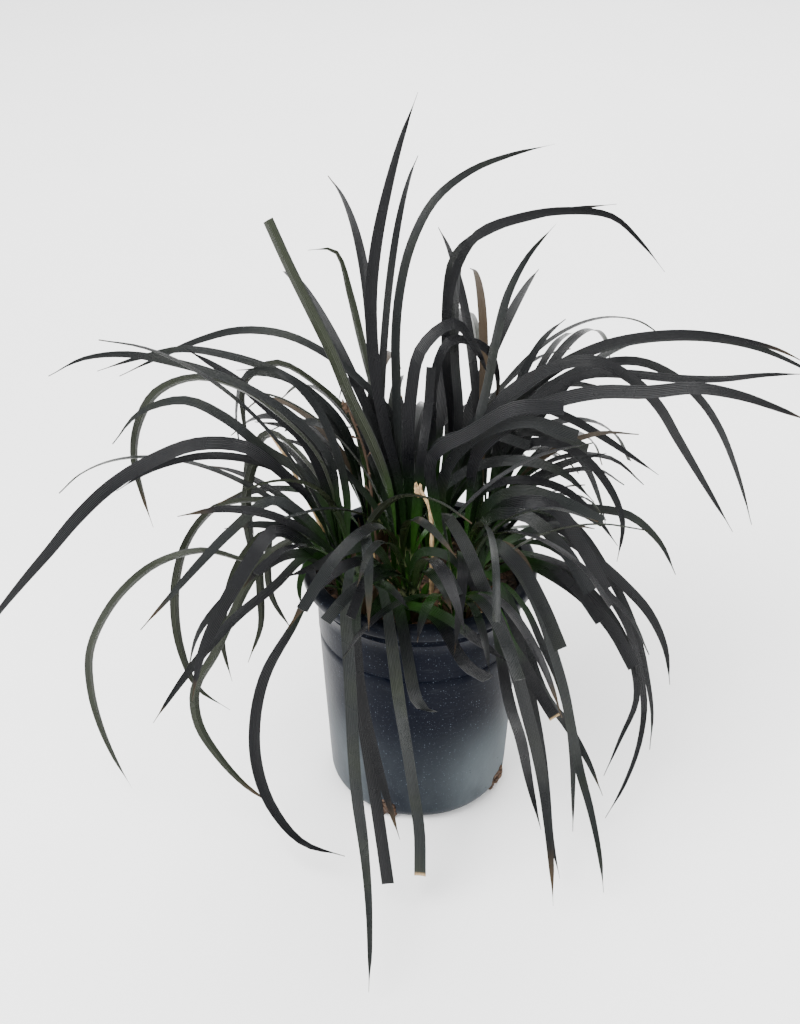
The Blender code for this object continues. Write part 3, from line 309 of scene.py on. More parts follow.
TRACED: tuple[Blade, ...] = (
    # Large leaves that have first choice of the space
    Blade(Tuft.RIGHT, 20, 7.2, ((478, 450), (520, 420), (570, 395), (610, 392), (654, 392), (694, 388),
        (734, 394), (774, 407), (816, 424)), 5, 0),
    Blade(Tuft.BACK, 80, 4.4, ((452, 440), (446, 360), (449, 300), (468, 243), (515, 219), (560, 212),
        (591, 210), (625, 225), (665, 272)), 30, 20),
    Blade(Tuft.BACK_RIGHT, 40, 5.0, ((500, 430), (540, 400), (580, 376), (627, 374), (667, 378), (721, 379),
        (762, 375), (812, 374)), 0, 0),
    Blade(Tuft.FRONT_LEFT, -92, 6.6, ((345, 590), (319, 597), (301, 617), (278, 650), (262, 684), (255, 721),
        (255, 753), (262, 785), (278, 817), (303, 843), (324, 853), (345, 856)), 5, 15),
    Blade(Tuft.FRONT_LEFT, -52, 5.4, ((312, 536), (285, 545), (262, 560), (240, 600), (214, 655), (192, 700),
        (207, 739), (230, 770), (257, 795), (280, 809)), 5, 60),
    Blade(Tuft.FRONT_LEFT, -108, 6.2, ((366, 584), (358, 562), (351, 590), (354, 640), (360, 700), (370, 764),
        (378, 814), (383, 850), (388, 884)), 0, 0, cut=True),
    Blade(Tuft.BACK_LEFT, 45, 4.6, ((395, 430), (368, 388), (331, 357), (287, 335), (248, 330), (218, 334),
        (184, 346), (149, 362), (119, 376)), 10, 10),
    Blade(Tuft.RIGHT, 34, 6.0, ((480, 430), (515, 392), (550, 368), (587, 360), (614, 369), (648, 392),
        (675, 434), (707, 488), (733, 532)), 5, 20),
    Blade(Tuft.BACK_RIGHT, 44, 5.0, ((510, 430), (560, 380), (610, 362), (651, 364), (683, 383), (707, 408),
        (726, 442), (742, 488), (752, 525)), 5, 10),
    Blade(Tuft.FRONT_RIGHT, -92, 5.0, ((470, 570), (480, 560), (500, 590), (518, 640), (532, 700), (544, 770),
        (550, 830), (560, 879)), 10, 10),
    Blade(Tuft.LEFT, 30, 5.6, ((330, 480), (300, 432), (276, 413), (241, 388), (195, 377), (165, 386),
        (149, 401), (138, 424), (133, 447), (138, 479), (145, 502), (153, 527)), 5, 10),
    Blade(Tuft.LEFT, 8, 5.4, ((318, 505), (296, 470), (280, 452), (262, 455), (250, 475), (246, 510),
        (252, 548), (262, 590)), 20, 20),
    # Upright leaves at the back
    Blade(Tuft.MIDDLE, 70, 6.0, ((402, 500), (385, 427), (375, 371), (371, 309), (376, 246), (395, 160),
        (418, 92)), 70, -40),
    Blade(Tuft.MIDDLE, 95, 4.6, ((400, 480), (397, 412), (396, 353), (397, 309), (412, 242), (444, 189),
        (495, 160), (555, 144)), 35, 30),
    Blade(Tuft.MIDDLE, 55, 6.4, ((392, 500), (368, 433), (347, 391), (327, 342), (297, 283), (268, 220)), 60,
        0, cut=True),
    Blade(Tuft.BACK_LEFT, 70, 5.0, ((396, 480), (385, 427), (368, 368), (356, 318), (343, 268), (330, 242),
        (318, 238), (308, 250)), 40, 20),
    Blade(Tuft.BACK, 120, 4.6, ((456, 418), (448, 353), (446, 309), (456, 254), (488, 230), (553, 212),
        (617, 204)), 30, 0),
    Blade(Tuft.BACK, 75, 5.4, ((458, 430), (456, 383), (454, 324), (457, 263)), 70, 0, cut=True),
    Blade(Tuft.BACK, 60, 5.2, ((462, 420), (473, 368), (479, 333), (497, 289), (523, 260), (546, 252),
        (567, 257), (586, 275)), 40, 20),
    Blade(Tuft.BACK_RIGHT, 90, 4.6, ((478, 430), (488, 383), (497, 336), (512, 283), (532, 251), (556, 224)),
        40, 0),
    Blade(Tuft.MIDDLE, 40, 6.2, ((408, 440), (413, 383), (424, 342), (441, 324), (459, 325), (473, 342),
        (490, 380)), 50, 10),
    Blade(Tuft.BACK, 50, 4.8, ((432, 400), (440, 352), (458, 338), (478, 342), (491, 355), (498, 380),
        (494, 412)), 30, 10),
    Blade(Tuft.MIDDLE, 30, 4.6, ((420, 470), (427, 420), (431, 367)), 20, 0, cut=True),
    Blade(Tuft.BACK_LEFT, 60, 5.0, ((392, 470), (372, 420), (352, 385), (346, 373), (340, 380), (339, 398)),
        40, 30),
    Blade(Tuft.MIDDLE, 60, 5.6, ((412, 470), (404, 440), (404, 405), (397, 395)), 60, 0, cut=True),
    # Upper left fountain
    Blade(Tuft.BACK_LEFT, 30, 4.8, ((350, 440), (310, 392), (275, 371), (230, 356), (184, 349), (138, 358),
        (97, 371)), 5, 0),
    Blade(Tuft.LEFT, 20, 4.6, ((330, 460), (275, 405), (230, 380), (195, 368), (149, 357), (110, 354),
        (76, 361), (48, 376)), 5, 15),
    Blade(Tuft.LEFT, 10, 6.8, ((322, 470), (290, 424), (253, 396), (230, 376), (209, 358), (184, 348)), 10,
        0),
    Blade(Tuft.LEFT, 0, 5.6, ((318, 490), (276, 458), (253, 440), (230, 421), (195, 403), (172, 400),
        (147, 408), (129, 422), (112, 444)), 5, 25),
    Blade(Tuft.LEFT, -22, 7.2, ((318, 510), (298, 490), (271, 461), (248, 448), (218, 441), (184, 448),
        (138, 468), (92, 502), (46, 555), (0, 610), (-24, 650)), 12, 0),
    Blade(Tuft.LEFT, -12, 4.2, ((310, 500), (280, 470), (248, 459), (218, 457), (184, 458), (149, 471),
        (116, 491)), 0, 10),
    Blade(Tuft.BACK_LEFT, 50, 4.4, ((360, 440), (340, 405), (318, 385), (290, 366), (270, 363), (252, 372),
        (241, 392), (244, 420), (250, 450)), 20, 10),
    Blade(Tuft.BACK_LEFT, 30, 5.0, ((352, 460), (325, 410), (300, 385), (272, 372), (250, 372), (238, 390),
        (236, 420), (240, 452)), 20, 10),
    Blade(Tuft.LEFT, 26, 4.6, ((345, 480), (328, 432), (312, 400), (290, 378), (262, 366), (236, 370)), 10,
        0),
    Blade(Tuft.BACK_LEFT, 20, 5.2, ((370, 470), (345, 440), (330, 425), (308, 422), (285, 428)), 30, 0,
        cut=True),
    Blade(Tuft.LEFT, 16, 5.0, ((330, 500), (305, 460), (290, 440), (275, 432), (258, 440), (250, 460),
        (248, 500), (255, 540)), 20, 15),
    # Lower left
    Blade(Tuft.FRONT_LEFT, -42, 5.0, ((300, 545), (275, 560), (250, 560), (230, 553), (202, 550), (174, 555),
        (138, 575), (112, 605), (99, 626), (89, 656), (90, 684), (97, 716), (113, 755), (132, 788)), 5, 30),
    Blade(Tuft.LEFT, -30, 5.4, ((300, 512), (264, 500), (230, 502), (207, 513), (188, 539), (179, 564),
        (174, 598), (177, 628), (184, 660), (198, 688), (209, 703), (230, 710)), 5, 10),
    Blade(Tuft.FRONT_LEFT, -34, 5.2, ((310, 520), (275, 500), (253, 513), (230, 532), (207, 555), (174, 592),
        (140, 630)), 10, 0),
    Blade(Tuft.FRONT_LEFT, -48, 7.4, ((302, 540), (282, 528), (262, 541), (248, 564), (230, 596), (213, 625),
        (201, 655), (194, 685), (192, 701)), 15, 0),
    Blade(Tuft.FRONT_LEFT, -66, 5.2, ((335, 555), (321, 548), (300, 561), (278, 583), (244, 610), (216, 638),
        (188, 672), (170, 698), (153, 723)), 8, 0),
    Blade(Tuft.FRONT_LEFT, -38, 4.4, ((310, 552), (290, 556), (271, 563), (243, 584), (212, 612), (195, 640),
        (188, 668)), 10, 10),
    Blade(Tuft.LEFT, -20, 4.6, ((300, 530), (276, 520), (262, 540), (260, 583), (262, 620), (248, 662)), 20,
        30),
    Blade(Tuft.LEFT, -26, 4.2, ((290, 540), (262, 532), (240, 560), (224, 610), (223, 647), (232, 681)), 20,
        30),
    Blade(Tuft.LEFT, -16, 4.0, ((290, 520), (272, 530), (268, 570), (276, 610), (292, 630)), 20, 20),
    Blade(Tuft.LEFT, -30, 4.0, ((325, 560), (312, 560), (303, 572), (299, 590), (301, 605)), 10, 10),
    # Front, hanging over the rim
    Blade(Tuft.FRONT_LEFT, -136, 6.0, ((362, 580), (353, 560), (346, 574), (346, 614), (350, 680), (354, 761),
        (359, 814), (367, 868), (371, 921), (370, 972)), 0, 30),
    Blade(Tuft.FRONT_LEFT, -92, 5.4, ((370, 590), (364, 576), (357, 600), (357, 655), (364, 710), (376, 760),
        (388, 801), (400, 840)), 0, 15),
    Blade(Tuft.FRONT, -106, 6.0, ((384, 610), (380, 602), (384, 630), (393, 665), (399, 694), (407, 747),
        (415, 801), (420, 835), (424, 853), (420, 876)), 0, 10, cut=True),
    Blade(Tuft.FRONT, -86, 6.0, ((374, 640), (380, 632), (394, 656), (407, 678), (424, 700), (432, 707)), 10,
        0, cut=True),
    Blade(Tuft.FRONT, -86, 6.2, ((392, 625), (399, 620), (420, 637), (450, 651), (487, 677)), 10, 0,
        cut=True),
    Blade(Tuft.FRONT, -84, 5.4, ((400, 602), (424, 607), (447, 618), (470, 634), (492, 652), (508, 662)), 0,
        0),
    Blade(Tuft.FRONT, -60, 5.6, ((376, 548), (354, 546), (330, 562), (300, 570), (286, 577)), 5, 0),
    Blade(Tuft.FRONT, -58, 5.4, ((392, 600), (380, 568), (362, 560), (348, 580), (352, 618)), 10, 20),
    Blade(Tuft.FRONT, -46, 6.0, ((382, 572), (368, 556), (372, 572), (386, 592), (400, 620)), 25, 0),
    Blade(Tuft.LEFT, -60, 6.2, ((312, 512), (298, 508), (302, 545), (316, 586), (333, 622), (345, 655)), 15,
        0),
    Blade(Tuft.LEFT, -56, 6.0, ((322, 530), (305, 520), (322, 548), (342, 590), (356, 620)), 20, 0),
    Blade(Tuft.FRONT, -50, 4.6, ((410, 580), (412, 560), (430, 550), (452, 560), (470, 585), (486, 620)), 10,
        10),
    Blade(Tuft.FRONT, -60, 5.2, ((398, 600), (390, 590), (378, 604), (370, 618)), 20, 0, cut=True),
    # Front right, hanging
    Blade(Tuft.FRONT_RIGHT, -96, 6.4, ((448, 560), (444, 512), (452, 520), (470, 555), (486, 595), (493, 611),
        (509, 648), (522, 694), (536, 747), (545, 800), (550, 898)), 20, 15),
    Blade(Tuft.FRONT_RIGHT, -98, 6.0, ((446, 560), (456, 540), (476, 565), (497, 600), (512, 640), (526, 700),
        (538, 760), (536, 805), (520, 855), (487, 894)), 10, 20),
    Blade(Tuft.FRONT_RIGHT, -78, 5.4, ((490, 560), (486, 540), (508, 560), (530, 588), (549, 640), (562, 680),
        (576, 753), (589, 814), (597, 880)), 10, 10),
    Blade(Tuft.FRONT_RIGHT, -74, 6.4, ((488, 548), (496, 540), (520, 565), (540, 600), (552, 625),
        (561, 649)), 15, 0, cut=True),
    Blade(Tuft.FRONT_RIGHT, -70, 5.2, ((480, 600), (496, 620), (525, 667), (557, 710), (584, 753),
        (603, 796)), 5, 0),
    Blade(Tuft.FRONT_RIGHT, -74, 5.8, ((470, 610), (490, 620), (515, 650), (538, 690), (555, 718)), 10, 0,
        cut=True),
    Blade(Tuft.FRONT_RIGHT, -60, 4.0, ((500, 580), (515, 590), (540, 640), (562, 690), (572, 747),
        (573, 832)), 10, 20),
    Blade(Tuft.FRONT_RIGHT, -82, 5.6, ((462, 620), (480, 630), (500, 680), (515, 720), (524, 760),
        (541, 830)), 10, 10),
    # Right, low and middle
    Blade(Tuft.RIGHT, -44, 6.8, ((500, 550), (520, 555), (541, 568), (565, 585), (589, 600), (610, 625),
        (634, 667)), 20, 0, cut=True),
    Blade(Tuft.RIGHT, -30, 5.8, ((500, 520), (530, 520), (565, 530), (600, 565), (632, 592), (656, 624),
        (667, 655), (670, 685)), 5, 10),
    Blade(Tuft.RIGHT, -22, 4.6, ((500, 500), (530, 500), (565, 515), (600, 560), (629, 614), (643, 659),
        (652, 710), (650, 750)), 5, 10),
    Blade(Tuft.RIGHT, -34, 4.4, ((510, 540), (545, 545), (590, 575), (625, 620), (641, 680), (643, 721),
        (627, 764), (601, 812)), 5, 20),
    Blade(Tuft.RIGHT, -40, 4.2, ((505, 560), (545, 560), (590, 590), (625, 640), (637, 694), (621, 737),
        (604, 776)), 5, 20),
    Blade(Tuft.BACK_RIGHT, 10, 4.6, ((510, 500), (545, 505), (589, 508), (622, 512), (648, 530), (668, 553),
        (676, 575)), 5, 10),
    Blade(Tuft.BACK_RIGHT, 14, 4.8, ((510, 460), (545, 440), (576, 452), (600, 474), (616, 501), (624, 533),
        (617, 562)), 10, 15),
    Blade(Tuft.RIGHT, -12, 5.6, ((490, 500), (520, 490), (550, 497), (580, 508), (603, 522)), 10, 0,
        cut=True),
    Blade(Tuft.RIGHT, -30, 7.0, ((490, 520), (520, 500), (550, 505), (572, 530), (590, 560), (606, 590)), 20,
        0, cut=True),
    Blade(Tuft.RIGHT, -36, 6.4, ((480, 530), (500, 512), (530, 518), (560, 545), (578, 570), (590, 592)), 20,
        0, cut=True),
    Blade(Tuft.RIGHT, -8, 4.4, ((480, 490), (510, 480), (545, 482), (580, 500), (606, 530), (618, 546)), 5,
        0),
    Blade(Tuft.RIGHT, -50, 5.0, ((500, 570), (530, 560), (560, 572), (585, 600), (600, 622)), 10, 0,
        cut=True),
    Blade(Tuft.RIGHT, -24, 6.2, ((470, 470), (490, 450), (512, 456), (532, 480), (548, 510), (560, 545),
        (568, 602)), 30, 0),
    Blade(Tuft.BACK_RIGHT, 20, 4.4, ((500, 450), (530, 432), (560, 440), (585, 465), (600, 500), (606, 525)),
        10, 10),
    Blade(Tuft.BACK_RIGHT, 24, 4.2, ((500, 440), (528, 425), (548, 432), (562, 455), (570, 490)), 10, 10),
    Blade(Tuft.BACK_RIGHT, 30, 5.8, ((480, 440), (505, 420), (530, 422), (560, 435), (588, 450)), 10, 0,
        cut=True),
    # Upper right fountain
    Blade(Tuft.BACK_RIGHT, 55, 4.8, ((480, 440), (510, 400), (545, 374), (560, 364), (600, 346), (640, 337),
        (689, 334), (734, 339), (774, 348), (812, 366)), 5, 5),
    Blade(Tuft.BACK_RIGHT, 70, 4.4, ((490, 440), (525, 395), (560, 368), (600, 348), (645, 340), (690, 337),
        (734, 342), (780, 356), (830, 384)), 5, 5),
    Blade(Tuft.BACK_RIGHT, 50, 4.2, ((500, 420), (540, 385), (580, 372), (627, 363), (667, 364), (714, 371)),
        5, 0),
    Blade(Tuft.RIGHT, 26, 5.6, ((490, 440), (540, 395), (590, 372), (627, 375), (654, 392), (680, 412),
        (700, 440), (721, 471), (752, 513)), 5, 20),
    Blade(Tuft.BACK, 50, 5.0, ((470, 450), (500, 415), (530, 404), (560, 414), (590, 429), (627, 453),
        (659, 475)), 5, 0),
    Blade(Tuft.BACK, 40, 6.2, ((456, 450), (490, 410), (520, 395), (555, 394), (583, 398)), 10, 0, cut=True),
    Blade(Tuft.RIGHT, 10, 6.8, ((430, 470), (450, 445), (478, 428), (505, 412), (540, 402), (564, 408)), 35,
        0, cut=True),
    Blade(Tuft.RIGHT, 4, 6.0, ((440, 490), (452, 460), (480, 434), (512, 422), (545, 424), (578, 436)), 25, 0,
        cut=True),
    Blade(Tuft.BACK, 60, 4.6, ((470, 430), (500, 400), (540, 386), (580, 384), (620, 394)), 5, 0),
    Blade(Tuft.MIDDLE, 10, 5.4, ((424, 470), (438, 445), (456, 437), (476, 433), (500, 436), (530, 446)), 10,
        0, cut=True),
)

FILL_COUNT: dict[Tuft, int] = {
    Tuft.MIDDLE: 12,
    Tuft.FRONT: 8,
    Tuft.FRONT_LEFT: 7,
    Tuft.RIGHT: 8,
    Tuft.LEFT: 7,
    Tuft.BACK_LEFT: 13,
    Tuft.BACK: 14,
    Tuft.BACK_RIGHT: 13,
    Tuft.FRONT_RIGHT: 9,
}

DRY_PIECES: tuple[Dry, ...] = (
    Dry(
        "spent_flower_stalk",
        ((-21, 7, 114), (-21, 7, 126), (-23, 12, 150), (-27, 22, 185), (-37, 28, 214)),
        1.0, Tint.STALK, 7,
    ),
    Dry(
        "dry_straw_left",
        ((-44, 9, 114), (-44, 9, 126), (-50, 10, 150), (-66, 12, 190), (-74, 14, 204)),
        1.3, Tint.STRAW,
    ),
    Dry(
        "dry_straw_middle",
        ((6, -9, 114), (6, -9, 126), (6, -8, 145), (5, -4, 170), (-1, 0, 182)),
        1.5, Tint.STRAW,
    ),
    Dry("dry_straw_front", ((-20, -8, 114), (-20, -8, 124), (-21, -8, 134), (-24, -6, 148)), 1.2, Tint.STRAW),
)


def box_of(points: Sequence[Vector]) -> tuple[Vector, Vector]:
    """The lowest and the highest corner of the box round points."""
    return tuple(Vector([pick(p[k] for p in points) for k in range(3)]) for pick in (min, max))


def add_part(points: list[Vector], faces: list[Face], part: tuple[list[Vector], list[Face]]) -> None:
    """Adds the points and faces of a part to those of a piece."""
    faces += [tuple(len(points) + k for k in face) for face in part[1]]
    points += part[0]


@dataclass
class Shape:
    """A leaf as it stands: its centre line, the direction across it and its width."""

    tuft: Tuft | None
    points: list[Vector]
    side: list[Vector]
    width: float
    cut: bool
    traced: bool = False
    full_tree: BVHTree | None = None
    outer_tree: BVHTree | None = None
    low: Vector = field(default_factory=Vector)
    high: Vector = field(default_factory=Vector)

    def width_at(self, share: float) -> float:
        """Width along the leaf: narrow in the sheath, even, then tapered to the tip.

        Args:
            share: Place along the leaf, from 0 at the crown to 1 at the tip.

        Returns:
            The width there.
        """
        if share < LEAF.root_end:
            swelling = math.sin(share / LEAF.root_end * math.pi / 2)
            return self.width * (LEAF.root_share + (1 - LEAF.root_share) * swelling)
        if self.cut or share < LEAF.taper_start:
            return self.width
        taper = math.cos((share - LEAF.taper_start) / LEAF.taper_length * math.pi / 2)
        return self.width * max(LEAF.tip_share, taper**LEAF.tip_power)

    def backs(self) -> list[Vector]:
        """The direction of the underside at each station, the same side all along.

        Returns:
            One direction for each station.
        """
        last = len(self.points) - 1
        ways = [self.points[min(i + 1, last)] - self.points[max(i - 1, 0)] for i in range(last + 1)]
        found = [side.cross(way).normalized() for side, way in zip(self.side, ways)]
        facing = -1.0 if sum(back.z for back in found[last // 3 :]) > 0 else 1.0
        return [back * facing for back in found]

    def solid(self, grow: float, skip: float = 0.0) -> tuple[list[Vector], list[Face]]:
        """The three-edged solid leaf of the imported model, grown on every side.

        Args:
            grow: How much it grows.
            skip: How far from its root it starts.

        Returns:
            Points and faces.
        """
        points: list[Vector] = []
        faces: list[Face] = []
        last = len(self.points) - 1
        rings = [i for i in range(last + 1) if (self.points[i] - self.points[0]).length >= skip]
        if len(rings) < 2:
            rings = [last - 1, last]
        backs = self.backs()
        for i in rings:
            half = self.width_at(i / last) / 2
            top = self.points[i] - backs[i] * grow
            points.append(top - self.side[i] * (half + grow))
            points.append(top + self.side[i] * (half + grow))
            points.append(self.points[i] + backs[i] * (LEAF.keel + grow))
        for k in range(len(rings) - 1):
            for j in range(3):
                a, b = k * 3 + j, k * 3 + (j + 1) % 3
                faces.append((a, b, b + 3, a + 3))
        end = 3 * (len(rings) - 1)
        faces += [(0, 1, 2), (end, end + 1, end + 2)]
        return points, faces

    def prepare(self) -> Shape:
        """Adds the search trees that the clearance test uses.

        Returns:
            The leaf itself.
        """
        points, faces = self.solid(LEAF.clearance)
        self.full_tree = BVHTree.FromPolygons(points, faces)
        outer, outer_faces = self.solid(LEAF.clearance, LEAF.shared_root)
        self.outer_tree = BVHTree.FromPolygons(outer, outer_faces)
        self.low, self.high = box_of(points)
        return self

    def meets(self, other: Shape) -> bool:
        """Whether two leaves come too close. In one tuft, the crowded roots don't count.

        Args:
            other: The other leaf.

        Returns:
            True where they are closer than the clearance.
        """
        if any(self.low[k] > other.high[k] or other.low[k] > self.high[k] for k in range(3)):
            return False
        if self.tuft == other.tuft:
            return bool(self.outer_tree.overlap(other.outer_tree))
        return bool(self.full_tree.overlap(other.full_tree))


def spline(points: Sequence[Vector], pieces: int | None) -> list[Vector]:
    """Evenly spaced points on a smooth curve through the given ones.

    Args:
        points: The points the curve passes.
        pieces: Number of pieces, or None to divide it by its length.

    Returns:
        The new points.
    """
    padded = [points[0] * 2 - points[1], *points, points[-1] * 2 - points[-2]]
    fine: list[Vector] = []
    for i in range(1, len(padded) - 2):
        a, b, c, d = padded[i - 1 : i + 3]
        square, cube = 2 * a - 5 * b + 4 * c - d, 3 * b - a - 3 * c + d
        for step in range(LEAF.curve_steps):
            t = step / LEAF.curve_steps
            fine.append(0.5 * ((2 * b) + (c - a) * t + square * t**2 + cube * t**3))
    fine.append(points[-1])
    lengths = [0.0]
    for p, q in zip(fine, fine[1:]):
        lengths.append(lengths[-1] + (q - p).length)
    if pieces is None:
        pieces = max(LEAF.fewest_segments, min(LEAF.most_segments, round(lengths[-1] / LEAF.segment_length)))
    found: list[Vector] = []
    k = 0
    for i in range(pieces + 1):
        goal = lengths[-1] * i / pieces
        while k < len(fine) - 2 and lengths[k + 1] < goal:
            k += 1
        span = lengths[k + 1] - lengths[k]
        found.append(fine[k].lerp(fine[k + 1], (goal - lengths[k]) / span if span else 0.0))
    return found


def sides_of(points: Sequence[Vector], roll: float, twist: float) -> list[Vector]:
    """The direction across a leaf at each point.

    Args:
        points: The centre line.
        roll: Turn about the line, in degrees, reached early on.
        twist: Turn added evenly along the line, in degrees.

    Returns:
        One direction for each point.
    """
    made: list[Vector] = []
    ends = points[-1] - points[0]
    across = Vector((-ends.y, ends.x, 0.0))
    across = across.normalized() if across.length > LEAF.steep_reach else Vector((1.0, 0.0, 0.0))
    for i in range(len(points)):
        along = (points[min(i + 1, len(points) - 1)] - points[max(i - 1, 0)]).normalized()
        across = (across - along * across.dot(along)).normalized()
        share = i / (len(points) - 1)
        angle = math.radians(roll * min(1.0, share * LEAF.roll_rate) + twist * share)
        made.append(Matrix.Rotation(angle, 3, along) @ across)
    return made


def tube(points: Sequence[Vector], radii: Sequence[float], sides: int = 6) -> tuple[list[Vector], list[Face]]:
    """A round stalk through points.

    Args:
        points: The centre line.
        radii: The radius at each point.
        sides: Number of sides.

    Returns:
        Points and faces.
    """
    made: list[Vector] = []
    faces: list[Face] = []
    across = Vector((1.0, 0.0, 0.0))
    last = len(points) - 1
    for i, p in enumerate(points):
        along = (points[min(i + 1, last)] - points[max(i - 1, 0)]).normalized()
        across = (across - along * across.dot(along)).normalized()
        beside = along.cross(across)
        for k in range(sides):
            angle = math.tau * k / sides
            made.append(p + (across * math.cos(angle) + beside * math.sin(angle)) * radii[i])
    for i in range(last):
        for k in range(sides):
            a, b = i * sides + k, i * sides + (k + 1) % sides
            faces.append((a, b, b + sides, a + sides))
    faces.append(tuple(range(sides)))
    faces.append(tuple(range(last * sides, last * sides + sides)))
    return made, faces


class LeafGrower:
    """Grows every leaf and bends it clear of the ones before it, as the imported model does."""

    def room(self, p: Vector, rooted: bool) -> tuple[float, Vector]:
        """Distance from the nearest of the pot, the surface below and, past the root, the mix.

        Args:
            p: The point.
            rooted: Whether it belongs to the root, which may be in the mix.

        Returns:
            The distance and its direction.
        """
        reach = math.hypot(p.x, p.y)
        away = Vector((p.x / reach, p.y / reach, 0.0)) if reach else Vector((1.0, 0.0, 0.0))
        upwards = Vector((0.0, 0.0, 1.0))
        found = [(p.z - LEAF.floor_clearance, upwards)]
        inner, low = POT.neck_radius - POT.wall - LEAF.rim_gap, POT.height - POT.rim_band
        beside = max(reach - POT.rim_radius, 0.0) - max(inner - reach, 0.0)
        above = max(p.z - POT.height, 0.0) - max(low - p.z, 0.0)
        gap = math.hypot(beside, above)
        if gap:
            found.append((gap, (away * beside + upwards * above) / gap))
        else:
            found.append((LEAF.in_wall, away))
        if p.z < low and reach > POT.wall_radius(p.z) - LEAF.wall_reach:
            found.append((reach - POT.wall_radius(p.z) - POT.bead_out, away))
        elif not rooted and (p.z < low or reach < inner):
            found.append((p.z - POT.soil_at(p.x, p.y) - LEAF.mix_clearance, upwards))
        return min(found, key=lambda pair: pair[0])

    def blocked(self, shape: Shape, i: int) -> bool:
        """Whether the leaf between two stations is too close to what it must clear.

        Args:
            shape: The leaf.
            i: The first of the two stations.

        Returns:
            True where it is too close.
        """
        for k in range(LEAF.checks):
            share = k / (LEAF.checks - 1)
            p = shape.points[i].lerp(shape.points[i + 1], share)
            half = shape.width_at((i + share) / (len(shape.points) - 1)) / 2
            distance, direction = self.room(p, (p - shape.points[0]).length < LEAF.root_free)
            edge = abs(shape.side[i].lerp(shape.side[i + 1], share).dot(direction))
            if distance < half * edge + LEAF.keel + LEAF.clearance:
                return True
        return False

    def is_clear(self, shape: Shape) -> bool:
        """Whether a leaf keeps off the pot, the mix and the surface below."""
        return not any(self.blocked(shape, i) for i in range(len(shape.points) - 1))

    def pulled_clear(self, shape: Shape, towards: Vector) -> Shape:
        """Moves blocked stations up over the rim, or towards a direction outside it.

        Args:
            shape: The leaf.
            towards: The direction outside the rim.

        Returns:
            The leaf itself.
        """
        count = len(shape.points)
        for _ in range(LEAF.pull_rounds):
            pull = [0.0] * count
            for i in range(count - 1):
                if self.blocked(shape, i):
                    for k, part in ((i - 1, 0.5), (i, 1.0), (i + 1, 1.0), (i + 2, 0.5)):
                        if 0 < k < count:
                            pull[k] = max(pull[k], part)
            if not any(pull):
                break
            for k in range(1, count):
                p = shape.points[k]
                outside = math.hypot(p.x, p.y) > POT.rim_radius + LEAF.pull_up_reach
                way = towards if outside else Vector((0.0, 0.0, 1.0))
                shape.points[k] = p + way * (pull[k] * LEAF.pull_step)
        return shape

    def root(self, tuft: Tuft, aim: Vector, index: int) -> Vector:
        """Where a leaf starts in its crown.

        Args:
            tuft: The tuft.
            aim: Where the leaf heads.
            index: Its number, which spreads the roots.

        Returns:
            The starting point.
        """
        x, y = CROWNS[tuft]
        away = Vector((aim.x - x, aim.y - y, 0.0))
        lean = away.normalized() if away.length > 1 else Vector((0.0, 1.0, 0.0))
        turn = Vector((-lean.y, lean.x, 0.0))
        offset = lean * (LEAF.root_ring + LEAF.root_step * (index % 3))
        offset += turn * (((index * 7) % 5 - 2) * LEAF.root_side)
        return Vector((x, y, POT.soil_at(x, y) + LEAF.root_lift)) + offset

    def traced(self, blade: Blade, index: int, shift: float, curve: float) -> Shape:
        """A traced leaf with its tip's depth moved, which keeps its place in the picture.

        Args:
            blade: The traced leaf.
            index: Its number.
            shift: How far its tip moves in depth.
            curve: How its depth grows along it.

        Returns:
            The leaf.
        """
        aim = PICTURE.place(*blade.trace[0], CROWNS[blade.tuft][1])
        start = self.root(blade.tuft, aim, index)
        steps = [0.0]
        for a, b in zip(blade.trace, blade.trace[1:]):
            steps.append(steps[-1] + math.dist(a, b))
        lead = math.dist(blade.trace[0], blade.trace[-1]) * LEAF.lead_share
        points = [start]
        for (x, y), run in zip(blade.trace, steps):
            share = (run + lead) / (steps[-1] + lead)
            depth = start.y + (blade.depth + shift - start.y) * share**curve
            points.append(PICTURE.place(x, y, depth))
        line = spline(points, None)
        shape = Shape(blade.tuft, line, sides_of(line, blade.roll, blade.twist), blade.width, blade.cut, True)
        towards = Vector((0.0, -math.cos(PICTURE.elevation), math.sin(PICTURE.elevation)))
        return self.pulled_clear(shape, towards)

